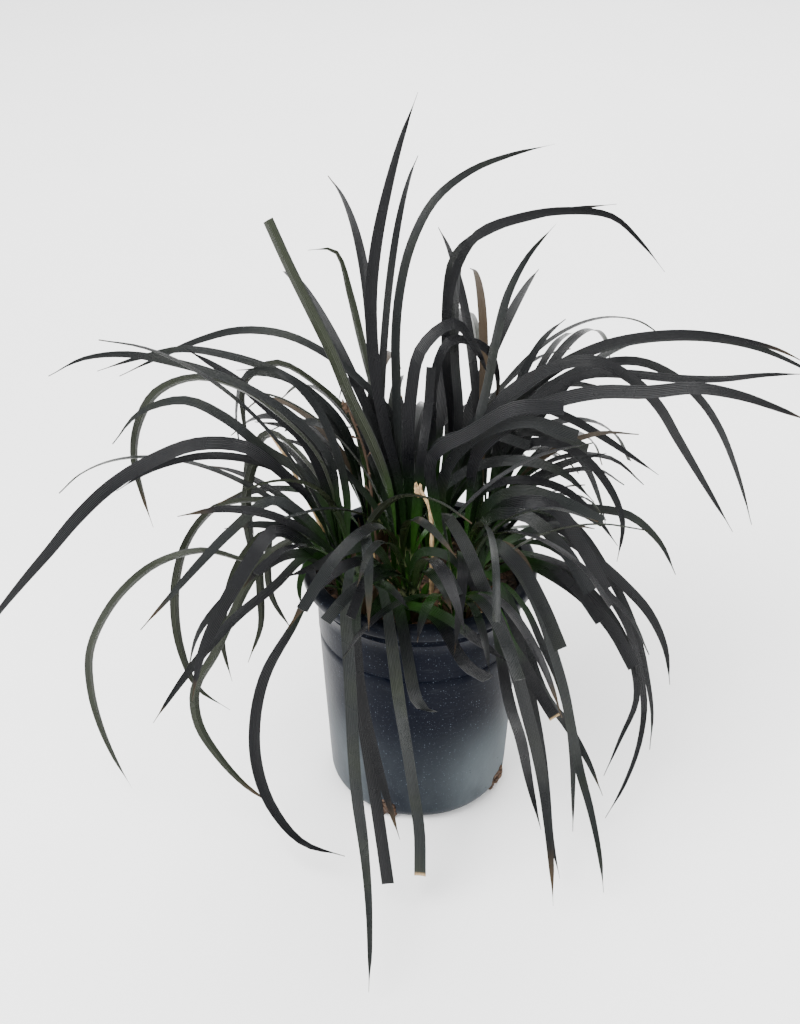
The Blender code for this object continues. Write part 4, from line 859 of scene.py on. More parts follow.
    def filler(self, tuft: Tuft, index: int, rng: random.Random) -> Shape:
        """An arching leaf by rule: it rises, bends over and falls, with a slight sideways sweep.

        Args:
            tuft: The tuft.
            index: Its number.
            rng: The seeded numbers.

        Returns:
            The leaf.
        """
        x, y = CROWNS[tuft]
        outwards = math.degrees(math.atan2(y, x))
        back = 90.0 if y > 0 else outwards
        bearing = math.radians(rng.gauss((outwards + back) / 2, FILL.spread))
        at_front = math.sin(bearing) < FILL.front_limit
        length = rng.uniform(*FILL.length) * (FILL.front_share if at_front else 1.0)
        lift = math.radians(rng.uniform(*FILL.lift))
        fall = math.radians(rng.uniform(*FILL.fall))
        sweep = math.radians(rng.gauss(0.0, FILL.sweep))
        reach = FILL.aim_reach
        aim = Vector((x + math.cos(bearing) * reach, y + math.sin(bearing) * reach, 0.0))
        start = self.root(tuft, aim, index)
        points, here = [start], start.copy()
        step = length / (FILL.stations - 1)
        bend = rng.uniform(*FILL.bend)
        for i in range(1, FILL.stations):
            share = (i - 0.5) / (FILL.stations - 1)
            pitch = lift + (fall - lift) * share**bend
            heading = bearing + sweep * share
            here = here + step * Vector(
                (math.cos(heading) * math.cos(pitch), math.sin(heading) * math.cos(pitch), math.sin(pitch))
            )
            points.append(here)
        width = rng.uniform(*FILL.width)
        cut = rng.random() < FILL.cut_share
        line = spline(points, None)
        side = sides_of(line, rng.uniform(*FILL.roll), rng.uniform(*FILL.roll))
        shape = Shape(tuft, line, side, width, cut)
        towards = Vector((math.cos(bearing), math.sin(bearing), FILL.outward_rise))
        return self.pulled_clear(shape, towards)

    def dry(self, dry: Dry) -> Shape:
        """A dry piece as an obstacle."""
        line = spline([Vector(p) for p in dry.path], LEAF.stalk_pieces)
        return Shape(None, line, sides_of(line, 0.0, 0.0), dry.radius * LEAF.stalk_room, True).prepare()

    def crown(self, tuft: Tuft) -> Shape:
        """The crown of a tuft as an obstacle for the leaves of the others.

        Args:
            tuft: The tuft.

        Returns:
            The obstacle.
        """
        x, y = CROWNS[tuft]
        foot = Vector((x, y, POT.soil_at(x, y) - CROWN.sunk))
        heights = (0.0, CROWN.shoulder, CROWN.rise + CROWN.headroom)
        line = [foot + Vector((0.0, 0.0, height)) for height in heights]
        shape = Shape(tuft, line, [Vector((1.0, 0.0, 0.0))] * 3, CROWN.radius * 2, True)
        radii = [CROWN.radius + CROWN.room, CROWN.radius, CROWN.top_radius + CROWN.room]
        points, faces = tube(line, radii, CROWN.sides)
        shape.full_tree = BVHTree.FromPolygons(points, faces)
        far = [foot - Vector((0, 0, CROWN.far_below + k)) for k in range(3)]
        shape.outer_tree = BVHTree.FromPolygons(far, [(0, 1, 2)])
        shape.low, shape.high = box_of(points)
        return shape

    def place(self, blade: Blade, index: int, placed: list[Shape]) -> Shape | None:
        """The traced leaf in the first position that is clear.

        Args:
            blade: The traced leaf.
            index: Its number.
            placed: The leaves before it.

        Returns:
            The leaf, or None where no position is clear.
        """
        for reach in LEAF.depth_reaches:
            for shift in (reach, -reach):
                for curve in LEAF.depth_curves:
                    for turn in LEAF.root_turns:
                        shape = self.traced(blade, index + turn, shift, curve).prepare()
                        if self.is_clear(shape) and not any(shape.meets(other) for other in placed):
                            return shape
        return None

    def grow(self) -> list[Shape]:
        """Every leaf of the plant.

        Returns:
            The leaves, the traced ones first.
        """
        placed = [self.dry(dry) for dry in DRY_PIECES]
        placed += [self.crown(tuft) for tuft in CROWNS]
        leaves: list[Shape] = []
        for index, blade in enumerate(TRACED):
            shape = self.place(blade, index, placed)
            if shape:
                placed.append(shape)
                leaves.append(shape)
        rng = random.Random(FILL.seed)
        for tuft, count in FILL_COUNT.items():
            grown = 0
            for index in range(count * FILL.tries):
                shape = self.filler(tuft, index, rng)
                if not self.is_clear(shape):
                    continue
                shape.prepare()
                if any(shape.meets(other) for other in placed):
                    continue
                placed.append(shape)
                leaves.append(shape)
                grown += 1
                if grown == count:
                    break
        return leaves


class Graph:
    """Builds the nodes of one material or node group."""

    def __init__(self, tree: bpy.types.NodeTree) -> None:
        """Keeps the tree that nodes are added to."""
        self.tree = tree

    def node(
        self, kind: str, inputs: dict[str | int, object] | None = None, **settings: object
    ) -> bpy.types.Node:
        """Adds a node.

        Args:
            kind: The node's type, without the leading ShaderNode.
            inputs: What its inputs take, by their names or numbers.
            **settings: Properties of the node.

        Returns:
            The node.
        """
        made = self.tree.nodes.new("ShaderNode" + kind)
        for name, value in settings.items():
            setattr(made, name, value)
        for key, value in (inputs or {}).items():
            self.put(made.inputs[key], value)
        return made

    def put(self, socket: bpy.types.NodeSocket, value: object) -> None:
        """Links a socket to another, or sets its value.

        Args:
            socket: The input.
            value: A socket, a number, a vector or a colour.
        """
        if isinstance(value, bpy.types.NodeSocket):
            self.tree.links.new(value, socket)
        elif isinstance(value, tuple) and len(value) == 3 and socket.type == "RGBA":
            socket.default_value = (*value, 1.0)
        else:
            socket.default_value = value

    def noise(
        self, place: object, scale: float, detail: float = 3.0, rough: float = 0.55
    ) -> bpy.types.NodeSocket:
        """A noise value.

        Args:
            place: The coordinates.
            scale: Lumps per unit.
            detail: Octaves.
            rough: How strong the finer octaves are.

        Returns:
            The value's socket.
        """
        inputs = {"Vector": place, "Scale": scale, "Detail": detail, "Roughness": rough}
        return self.node("TexNoise", inputs).outputs["Fac"]

    def ramp(
        self, value: object, low: float, high: float, start: float = 0.0, end: float = 1.0
    ) -> bpy.types.NodeSocket:
        """A clamped change of range.

        Args:
            value: The value.
            low: Where the range starts.
            high: Where it ends.
            start: The result at the start.
            end: The result at the end.

        Returns:
            The result's socket.
        """
        inputs = {"Value": value, "From Min": low, "From Max": high, "To Min": start, "To Max": end}
        return self.node("MapRange", inputs, interpolation_type="SMOOTHSTEP").outputs["Result"]

    def math(self, kind: str, first: object, second: object = 0.0) -> bpy.types.NodeSocket:
        """A sum, product or other operation on two values.

        Args:
            kind: The operation.
            first: The first value.
            second: The second value.

        Returns:
            The result's socket.
        """
        return self.node("Math", {0: first, 1: second}, operation=kind).outputs[0]

    def mix(self, share: object, first: object, second: object, blend: str = "MIX") -> bpy.types.NodeSocket:
        """A mix of two colours.

        Args:
            share: How much of the second.
            first: The first colour.
            second: The second colour.
            blend: The way they mix.

        Returns:
            The colour's socket.
        """
        inputs = {0: share, 6: first, 7: second}
        return self.node("Mix", inputs, data_type="RGBA", blend_type=blend).outputs[2]

    def value(self, name: str) -> bpy.types.NodeSocket:
        """A number kept on the mesh."""
        return self.node("Attribute", attribute_name=name).outputs["Fac"]

    def place(self) -> bpy.types.NodeSocket:
        """The object's own coordinates, in metres."""
        return self.node("TexCoord").outputs["Object"]

    def stretched(self, scale: Triple) -> bpy.types.NodeSocket:
        """The object's coordinates, scaled along each axis.

        Args:
            scale: The factors.

        Returns:
            The vector's socket.
        """
        return self.node("Mapping", {"Vector": self.place(), "Scale": scale}).outputs["Vector"]

    def bump(self, height: object, strength: float, distance: float) -> bpy.types.NodeSocket:
        """A bumped normal.

        Args:
            height: The height's socket.
            strength: How strong.
            distance: The height of a full step, in metres.

        Returns:
            The normal's socket.
        """
        inputs = {"Height": height, "Strength": strength, "Distance": distance}
        return self.node("Bump", inputs).outputs["Normal"]


class Effects:
    """Effects that several finishes share, each a node group that is built once."""

    FINER: float = 6.3
    RARITY: float = 2.5
    EDGE: float = 0.6
    LEAST_SIZE: float = 0.0001

    _made: dict[str, bpy.types.NodeTree] = {}

    @staticmethod
    def group(name: str, numbers: Sequence[str], output: str) -> tuple[Graph, bpy.types.Node, bpy.types.Node]:
        """A new node group with the input Place, some numbers and one output.

        Args:
            name: The group's name.
            numbers: The names of its number inputs.
            output: The output's name.

        Returns:
            The group's graph, its input node and its output node.
        """
        tree = bpy.data.node_groups.new(name, "ShaderNodeTree")
        tree.interface.new_socket("Place", in_out="INPUT", socket_type="NodeSocketVector")
        for number in numbers:
            tree.interface.new_socket(number, in_out="INPUT", socket_type="NodeSocketFloat")
        tree.interface.new_socket(output, in_out="OUTPUT", socket_type="NodeSocketFloat")
        return Graph(tree), tree.nodes.new("NodeGroupInput"), tree.nodes.new("NodeGroupOutput")

    @classmethod
    def mottle(cls) -> bpy.types.NodeTree:
        """Uneven colour: two sizes of soft patches around 1.

        Returns:
            The group, with inputs Place, Scale and Strength and the output Factor.
        """
        if "mottle" in cls._made:
            return cls._made["mottle"]
        graph, given, result = cls.group("mottle", ("Scale", "Strength"), "Factor")
        place, scale = given.outputs["Place"], given.outputs["Scale"]
        wide = graph.node("TexNoise", {"Vector": place, "Scale": scale})
        finer = graph.math("MULTIPLY", scale, cls.FINER)
        fine = graph.node("TexNoise", {"Vector": place, "Scale": finer})
        both = graph.math("ADD", wide.outputs["Fac"], graph.math("MULTIPLY", fine.outputs["Fac"], 0.5))
        swing = graph.math("MULTIPLY", graph.math("SUBTRACT", both, 0.75), given.outputs["Strength"])
        graph.put(result.inputs["Factor"], graph.math("ADD", swing, 1.0))
        cls._made["mottle"] = graph.tree
        return graph.tree

    @classmethod
    def specks(cls) -> bpy.types.NodeTree:
        """Scattered round specks of dust, pits or grains.

        Returns:
            The group, with inputs Place, Scale and Size and the output Mask.
        """
        if "specks" in cls._made:
            return cls._made["specks"]
        graph, given, result = cls.group("specks", ("Scale", "Size"), "Mask")
        place, scale = given.outputs["Place"], given.outputs["Scale"]
        cells = graph.node("TexVoronoi", {"Vector": place, "Scale": scale})
        tone = graph.node("SeparateColor", {0: cells.outputs["Color"]})
        rarity = graph.math("POWER", tone.outputs[0], cls.RARITY)
        size = graph.math("MULTIPLY", given.outputs["Size"], rarity)
        inside = graph.math("DIVIDE", cells.outputs["Distance"], graph.math("ADD", size, cls.LEAST_SIZE))
        graph.put(result.inputs["Mask"], graph.ramp(inside, 1.0, cls.EDGE))
        cls._made["specks"] = graph.tree
        return graph.tree


class Finish:
    """A finish: it makes one material."""

    name: str = "finish"

    def dress(self, graph: Graph, shader: bpy.types.Node) -> None:
        """Adds the nodes of the finish."""
        raise NotImplementedError

    def material(self) -> bpy.types.Material:
        """The finish's material, built once.

        Returns:
            The material.
        """
        made = bpy.data.materials.get(self.name)
        if made:
            return made
        made = bpy.data.materials.new(self.name)
        made.use_nodes = True
        self.dress(Graph(made.node_tree), made.node_tree.nodes["Principled BSDF"])
        return made

    @staticmethod
    def shaded(graph: Graph, colour: object, shade: object) -> bpy.types.NodeSocket:
        """A colour made lighter or darker.

        Args:
            graph: The material's graph.
            colour: The colour.
            shade: The factor.

        Returns:
            The colour's socket.
        """
        return graph.node("VectorMath", {0: colour, "Scale": shade}, operation="SCALE").outputs[0]

    @staticmethod
    def effect(graph: Graph, group: bpy.types.NodeTree, **numbers: float) -> bpy.types.NodeSocket:
        """A shared effect at the object's own coordinates.

        Args:
            graph: The material's graph.
            group: The effect's node group.
            **numbers: The values of its number inputs.

        Returns:
            The effect's socket.
        """
        return graph.node("Group", {"Place": graph.place(), **numbers}, node_tree=group).outputs[0]

    @classmethod
    def mottled(cls, graph: Graph, scale: float, strength: float) -> bpy.types.NodeSocket:
        """The shared mottle effect, by patches per metre and strength."""
        return cls.effect(graph, Effects.mottle(), Scale=scale, Strength=strength)

    @classmethod
    def specked(cls, graph: Graph, scale: float, size: float) -> bpy.types.NodeSocket:
        """The shared specks effect, by cells per metre and the largest speck's share of its cell."""
        return cls.effect(graph, Effects.specks(), Scale=scale, Size=size)


@dataclass(frozen=True)
class LeafFinish(Finish):
    """Satin purple-black leaf: olive underside, green base, brown tip, fine veins along it."""

    name: str = "black_leaf"
    black: Triple = (0.0022, 0.0024, 0.0032)
    worn: Triple = (0.0075, 0.0092, 0.0090)
    olive: Triple = (0.016, 0.020, 0.0095)
    green: Triple = (0.022, 0.078, 0.008)
    sheath: Triple = (0.30, 0.34, 0.17)
    brown: Triple = (0.042, 0.027, 0.013)
    tan: Triple = (0.30, 0.21, 0.11)
    roughness: Point = (0.25, 0.33)
    dry_roughness: float = 0.3
    shine: float = 0.21
    vein_scale: float = 1.25
    vein_waver: float = 0.25
    vein_shade: Point = (0.70, 1.35)
    relief: Point = (0.8, 0.0003)

    def dress(self, graph: Graph, shader: bpy.types.Node) -> None:
        """Adds the nodes of the leaf.

        Args:
            graph: The material's graph.
            shader: Its Principled shader.
        """
        along, across = graph.value("along"), graph.value("across")
        under, tone = graph.value("under"), graph.value("tone")
        top = graph.mix(graph.ramp(tone, 0.35, 1.0), self.black, self.worn)
        colour = graph.mix(graph.math("MULTIPLY", under, 0.75), top, self.olive)
        patches = graph.ramp(graph.noise(graph.place(), 34.0), 0.45, 0.75, 0.0, 0.5)
        ageing = graph.math("MULTIPLY", patches, graph.math("POWER", tone, 2.0))
        colour = graph.mix(ageing, colour, self.olive)
        colour = graph.mix(graph.value("green"), colour, self.green)
        colour = graph.mix(graph.ramp(along, 0.075, 0.03), colour, self.sheath)
        colour = graph.mix(graph.value("dry"), colour, self.brown)
        colour = graph.mix(graph.ramp(graph.value("cut_end"), 0.60, 0.86), colour, self.tan)
        line = graph.node("CombineXYZ", {0: across, 1: graph.math("MULTIPLY", along, 0.4)})
        waves = {"Vector": line.outputs[0], "Scale": self.vein_scale, "Distortion": self.vein_waver}
        veins = graph.node("TexWave", waves, wave_type="BANDS", bands_direction="X").outputs["Fac"]
        veined = graph.ramp(veins, 0.0, 1.0, *self.vein_shade)
        shade = graph.math("MULTIPLY", veined, self.mottled(graph, 60.0, 0.35))
        graph.put(shader.inputs["Base Color"], self.shaded(graph, colour, shade))
        rough = graph.ramp(graph.noise(graph.place(), 25.0), 0.3, 0.7, *self.roughness)
        dulling = graph.math("MULTIPLY", graph.value("dry"), self.dry_roughness)
        graph.put(shader.inputs["Roughness"], graph.math("ADD", rough, dulling))
        height = graph.math("ADD", veins, graph.math("MULTIPLY", graph.noise(graph.place(), 900.0), 0.35))
        graph.put(shader.inputs["Normal"], graph.bump(height, *self.relief))
        shader.inputs["Specular IOR Level"].default_value = self.shine


@dataclass(frozen=True)
class PotFinish(Finish):
    """Dark blue-grey blow-moulded plastic with dust, pale specks and scuffs, and a painted reflection on the
    lower wall and the sides.
    """

    name: str = "blown_plastic"
    dark: Triple = (0.0010, 0.0020, 0.0058)
    # Pale colour of the painted reflection on the lower wall and sides, and of the real scuffs; the heights
    # below set where that painted reflection fades out.
    reflection_and_scuff: Triple = (0.078, 0.092, 0.100)
    speck: Triple = (0.085, 0.105, 0.13)
    rim: Triple = (0.004, 0.005, 0.008)
    reflection_heights: Point = (0.076, 0.024)
    clear_middle: Point = (0.010, 0.042)
    rim_heights: Point = (0.129, 0.132)
    dust: Point = (760.0, 0.26)
    fine_dust: Point = (1500.0, 0.34)
    pits: Point = (330.0, 0.2)
    roughness: Point = (0.26, 0.42)
    shine: float = 0.05
    relief: Point = (0.3, 0.0003)

    def dress(self, graph: Graph, shader: bpy.types.Node) -> None:
        """Adds the nodes of the pot's plastic.

        Args:
            graph: The material's graph.
            shader: Its Principled shader.
        """
        split = graph.node("SeparateXYZ", {0: graph.place()})
        east, height = split.outputs[0], split.outputs[2]
        clouds = graph.noise(graph.stretched((1.0, 1.0, 0.5)), 26.0, 4.0, 0.6)
        # Painted reflection: the wall is painted lighter towards the bottom, where the pale floor would be
        # reflected, and towards the sides as seen from the front, with a clear middle; cloud noise breaks it
        # up.
        low = graph.ramp(height, *self.reflection_heights)
        off_middle = graph.math("ABSOLUTE", graph.math("ADD", east, 0.004))
        sideways = graph.ramp(off_middle, *self.clear_middle)
        painted_reflection = graph.math("MULTIPLY", low, graph.math("ADD", graph.math("MULTIPLY", sideways, 0.7), 0.25))
        painted_reflection = graph.math("MULTIPLY", painted_reflection, graph.ramp(clouds, 0.3, 0.62, 0.35, 1.0))
        rubbed = graph.noise(graph.stretched((1.0, 1.0, 6.0)), 55.0, 5.0, 0.7)
        scuffs = graph.ramp(rubbed, 0.56, 0.76, 0.0, 0.10)
        # The pale colour paints the reflection and also the real scuffs.
        colour = graph.mix(graph.math("MAXIMUM", painted_reflection, scuffs), self.dark, self.reflection_and_scuff)
        colour = graph.mix(graph.ramp(height, *self.rim_heights), colour, self.rim)
        dust = self.specked(graph, *self.dust)
        fine = self.specked(graph, *self.fine_dust)
        specks = graph.math("MAXIMUM", dust, graph.math("MULTIPLY", fine, 0.6))
        colour = graph.mix(graph.math("MULTIPLY", specks, 0.75), colour, self.speck)
        pits = self.specked(graph, *self.pits)
        # Pits keep the dark body colour inside the painted reflection.
        colour = graph.mix(graph.math("MULTIPLY", pits, graph.math("MULTIPLY", painted_reflection, 0.8)), colour, self.dark)
        graph.put(shader.inputs["Base Color"], colour)
        rough = graph.ramp(clouds, 0.25, 0.75, *self.roughness)
        rough = graph.math("ADD", rough, graph.math("MULTIPLY", painted_reflection, 0.18))
        graph.put(shader.inputs["Roughness"], graph.math("ADD", rough, graph.math("MULTIPLY", specks, 0.2)))
        grain = graph.noise(graph.place(), 420.0, 4.0)
        relief = graph.math("SUBTRACT", grain, graph.math("MULTIPLY", pits, 0.7))
        graph.put(shader.inputs["Normal"], graph.bump(relief, *self.relief))
        shader.inputs["Specular IOR Level"].default_value = self.shine


@dataclass(frozen=True)
class MixFinish(Finish):
    """Dark brown fibrous bark mix with pale grains."""

    name: str = "bark_mix"
    dark: Triple = (0.014, 0.008, 0.005)
    light: Triple = (0.075, 0.040, 0.019)
    grain: Triple = (0.36, 0.24, 0.12)
    grains: Point = (420.0, 0.34)
    roughness: Point = (0.98, 0.8)
    relief: Point = (0.9, 0.0012)

    def dress(self, graph: Graph, shader: bpy.types.Node) -> None:
        """Adds the nodes of the potting mix.

        Args:
            graph: The material's graph.
            shader: Its Principled shader.
        """
        crumbs = graph.noise(graph.place(), 330.0, 6.0, 0.65)
        colour = graph.mix(graph.ramp(crumbs, 0.36, 0.66), self.dark, self.light)
        grains = self.specked(graph, *self.grains)
        colour = graph.mix(graph.math("MULTIPLY", grains, 0.7), colour, self.grain)
        graph.put(shader.inputs["Base Color"], colour)
        graph.put(shader.inputs["Roughness"], graph.ramp(crumbs, 0.3, 0.7, *self.roughness))
        relief = graph.math("ADD", crumbs, graph.noise(graph.place(), 1100.0, 4.0))
        graph.put(shader.inputs["Normal"], graph.bump(relief, *self.relief))


@dataclass(frozen=True)
class ChipFinish(Finish):
    """Bark chips and straw bits: each bit has its own tone, with fibres along it."""

    name: str = "bark_chips"
    dark: Triple = (0.022, 0.012, 0.007)
    bark: Triple = (0.110, 0.055, 0.026)
    straw: Triple = (0.52, 0.39, 0.22)
    straw_tones: Point = (0.86, 0.9)
    roughness: Point = (0.95, 0.75)
    relief: Point = (0.8, 0.0006)

    def dress(self, graph: Graph, shader: bpy.types.Node) -> None:
        """Adds the nodes of the bits.

        Args:
            graph: The material's graph.
            shader: Its Principled shader.
        """
        tone = graph.value("tone")
        colour = graph.mix(graph.ramp(tone, 0.0, 0.75), self.dark, self.bark)
        colour = graph.mix(graph.ramp(tone, *self.straw_tones), colour, self.straw)
        fibres = graph.noise(graph.place(), 800.0, 5.0, 0.7)
        streaks = graph.ramp(fibres, 0.3, 0.7, 0.6, 1.3)
        shade = graph.math("MULTIPLY", streaks, self.mottled(graph, 240.0, 0.6))
        graph.put(shader.inputs["Base Color"], self.shaded(graph, colour, shade))
        graph.put(shader.inputs["Roughness"], graph.ramp(fibres, 0.3, 0.7, *self.roughness))
        graph.put(shader.inputs["Normal"], graph.bump(fibres, *self.relief))


@dataclass(frozen=True)
class DryFinish(Finish):
    """Dead stalk or straw, with fibres along it and weathered patches."""

    name: str = "dead_straw"
    base: Triple = (0.50, 0.36, 0.19)
    shade: Triple = (0.22, 0.13, 0.07)
    roughness: Point = (0.9, 0.7)
    relief: Point = (0.7, 0.0004)

    def dress(self, graph: Graph, shader: bpy.types.Node) -> None:
        """Adds the nodes of the dry piece.

        Args:
            graph: The material's graph.
            shader: Its Principled shader.
        """
        fibres = graph.noise(graph.stretched((1.0, 1.0, 0.08)), 1900.0, 3.0)
        colour = graph.mix(graph.ramp(fibres, 0.35, 0.7), self.base, self.shade)
        shade = self.mottled(graph, 130.0, 0.9)
        graph.put(shader.inputs["Base Color"], self.shaded(graph, colour, shade))
        graph.put(shader.inputs["Roughness"], graph.ramp(fibres, 0.3, 0.7, *self.roughness))
        graph.put(shader.inputs["Normal"], graph.bump(fibres, *self.relief))


@dataclass(frozen=True)
class FloorFinish(Finish):
    """Plain pale floor."""

    name: str = "pale_floor"
    darkest: float = 0.95
    lightest: float = 0.98

    def dress(self, graph: Graph, shader: bpy.types.Node) -> None:
        """Adds the nodes of the floor.

        Args:
            graph: The material's graph.
            shader: Its Principled shader.
        """
        soft = graph.ramp(graph.noise(graph.place(), 3.0), 0.3, 0.7, self.darkest, self.lightest)
        tone = graph.node("CombineColor", {0: soft, 1: soft, 2: soft})
        graph.put(shader.inputs["Base Color"], tone.outputs[0])
        graph.put(shader.inputs["Roughness"], 0.9)


def piece_from(
    name: str,
    points: Iterable[Vector],
    faces: Sequence[Face],
    finish: Finish,
    values: dict[str, list[float]] | None = None,
    smooth: bool = True,
) -> bpy.types.Object:
    """Makes a piece from points in millimetres.

    Args:
        name: The piece's name.
        points: Its points.
        faces: Its faces.
        finish: Its finish.
        values: Numbers kept at each point for the finish.
        smooth: Whether it is shaded smooth.

    Returns:
        The object.
    """
    mesh = bpy.data.meshes.new(name)
    mesh.from_pydata([Vector(p) * MM for p in points], [], faces)
    for key, numbers in (values or {}).items():
        layer = mesh.attributes.new(key, "FLOAT", "POINT")
        layer.data.foreach_set("value", numbers)
    work = bmesh.new()
    work.from_mesh(mesh)
    bmesh.ops.recalc_face_normals(work, faces=work.faces)
    work.to_mesh(mesh)
    work.free()
    if smooth:
        mesh.shade_smooth()
        mesh.set_sharp_from_angle(angle=math.radians(42))
    mesh.materials.append(finish.material())
    piece = bpy.data.objects.new(name, mesh)
    bpy.context.scene.collection.objects.link(piece)
    return piece


def seat(piece: bpy.types.Object, slot: str, *nodes: str) -> None:
    """Makes a piece ride on the part and stand for nodes.

    Args:
        piece: The piece.
        slot: Not used.
        *nodes: The nodes it stands for.
    """
    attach(piece, "root")
    if nodes:
        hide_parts(*nodes)
    LOG.info("%s: %d faces", piece.name, len(piece.data.polygons))


@dataclass
class NurseryPot:
    """The round blow-moulded pot, with its rolled rim, ring lines, ledge and drainage holes."""

    sizes: PotSizes = POT
    sides: int = 144
    drain_foot: float = 1.2
    drain_reach: float = 16.0
    drain_rounding: float = 2.4
    ring_lines: tuple[Point, ...] = ((115.0, -0.5), (117.0, -0.7), (119.0, -0.4))
    bead: tuple[Point, ...] = ((-1.6, 0.0), (-0.8, 0.6), (0.0, POT.bead_out), (0.8, 0.6), (1.6, 0.0))
    plain_heights: tuple[float, ...] = (20.0, 32.0, 45.0, 58.0, 71.0, 84.0, 95.0)
    foot: tuple[Point, ...] = ((-6.0, 0.6), (-4.0, 0.0), (-0.5, 0.0))
    ledge_under: tuple[Point, ...] = ((-0.1, -2.6), (-POT.ledge_step, -1.4), (-POT.ledge_step * 0.6, -0.5))
    ledge_top: tuple[Point, ...] = ((0.25, 0.0), (0.2, 0.8))
    rim_under: tuple[Point, ...] = ((0.0, -1.2), (1.2, -0.2))
    rim_edge: tuple[Point, ...] = ((-1.6, 0.0), (-0.5, 0.4), (0.0, 1.5))
    rim_top: tuple[Point, ...] = ((0.0, -2.6), (-0.4, -1.3), (-1.5, -0.4), (-3.2, 0.0))
    mouth: tuple[Point, ...] = ((-0.1, -0.4), (-1.1, -1.8), (-0.1 - POT.wall, -4.0))
    finish: PotFinish = field(default_factory=PotFinish)

    @staticmethod
    def moved(offsets: Sequence[Point], radius: float, height: float) -> list[Point]:
        """Profile points given by how far they lie outwards and up from a radius and a height."""
        return [(radius + out, height + rise) for out, rise in offsets]

    def outside(self) -> list[Point]:
        """The outer profile from the underside to the rim's top.

        Returns:
            Points of radius and height.
        """
        s = self.sizes
        foot = s.wall_radius(s.corner_radius) - s.corner_radius
        low = s.height - s.rim_band
        line = self.moved(self.foot, foot, 0.0)
        for degrees in range(10, 91, 10):
            a = math.radians(degrees)
            line.append((foot + s.corner_radius * math.sin(a), s.corner_radius * (1 - math.cos(a))))
        line += [(s.wall_radius(height) + 0.12 * math.sin(height), height) for height in self.plain_heights]
        ledge = s.wall_radius(s.ledge_height)
        line += self.moved(self.ledge_under + self.ledge_top, ledge, s.ledge_height)
        line.append((s.wall_radius(109.0), 109.0))
        lines = [*self.ring_lines, *((s.bead_height + rise, out) for rise, out in self.bead)]
        line += [(s.wall_radius(height) + out, height) for height, out in lines]
        line.append((s.wall_radius(128.0), 128.0))
        line += self.moved(self.rim_under, s.neck_radius, low)
        line += self.moved(self.rim_edge, s.rim_radius, low)
        return line + self.moved(self.rim_top, s.rim_radius, s.height)

    def inside(self) -> list[Point]:
        """The inner profile from the rim's top to the floor.

        Returns:
            Points of radius and height.
        """
        s = self.sizes
        foot = s.wall_radius(s.corner_radius) - s.corner_radius
        bend = s.corner_radius - s.wall
        line = self.moved(self.mouth, s.neck_radius, s.height)
        line += [(s.inner_radius(height), height) for height in (118.0, 60.0)]
        for degrees in (90, 70, 50, 30, 0):
            a = math.radians(degrees)
            line.append((foot + bend * math.sin(a), s.corner_radius - bend * math.cos(a)))
        return line

    def drain_cutter(self) -> bpy.types.Object:
        """Four rounded cutters for the drainage holes, as one object.

        Returns:
            The cutter.
        """
        s = self.sizes
        work = bmesh.new()
        for i in range(s.drain_count):
            angle = math.radians(s.drain_first + 360.0 / s.drain_count * i)
            reach = s.base_radius - 1.0
            made = bmesh.ops.create_cube(work, size=1.0)["verts"]
            centre = Matrix.Translation((reach, 0.0, s.drain_height / 2 + self.drain_foot))
            place = Matrix.Rotation(angle, 4, "Z") @ centre
            place = place @ Matrix.Diagonal((self.drain_reach, s.drain_width, s.drain_height, 1.0))
            bmesh.ops.transform(work, matrix=Matrix.Scale(MM, 4) @ place, verts=made)
            edges = [e for e in work.edges if e.verts[0] in made and e.verts[1] in made]
            rounding = self.drain_rounding * MM
            bmesh.ops.bevel(work, geom=edges, offset=rounding, segments=3, affect="EDGES", profile=0.5)
        mesh = bpy.data.meshes.new("drain_cutter")
        work.to_mesh(mesh)
        work.free()
        cutter = bpy.data.objects.new("drain_cutter", mesh)
        bpy.context.scene.collection.objects.link(cutter)
        return cutter

    def build(self) -> bpy.types.Object:
        """Makes the pot.

        Returns:
            The piece.
        """
        profile = self.outside() + self.inside()
        count = len(profile)
        points: list[Vector] = []
        faces: list[Face] = []
        for i in range(self.sides):
            angle = math.tau * i / self.sides
            points += [Vector((r * math.cos(angle), r * math.sin(angle), z)) for r, z in profile]
            here, there = i * count, (i + 1) % self.sides * count
            faces += [(here + k, there + k, there + k + 1, here + k + 1) for k in range(count - 1)]
        faces.append(tuple(i * count for i in reversed(range(self.sides))))
        faces.append(tuple(i * count + count - 1 for i in range(self.sides)))
        pot = piece_from("fine_pot", points, faces, self.finish, smooth=False)
        cutter = self.drain_cutter()
        cut = pot.modifiers.new("drains", "BOOLEAN")
        cut.operation, cut.solver, cut.object = "DIFFERENCE", "EXACT", cutter
        mesh = bpy.data.meshes.new_from_object(pot.evaluated_get(bpy.context.evaluated_depsgraph_get()))
        pot.modifiers.clear()
        pot.data = mesh
        bpy.data.objects.remove(cutter)
        mesh.shade_smooth()
        mesh.set_sharp_from_angle(angle=math.radians(38))
        seat(pot, "pot_plastic", "nursery_pot")
        return pot


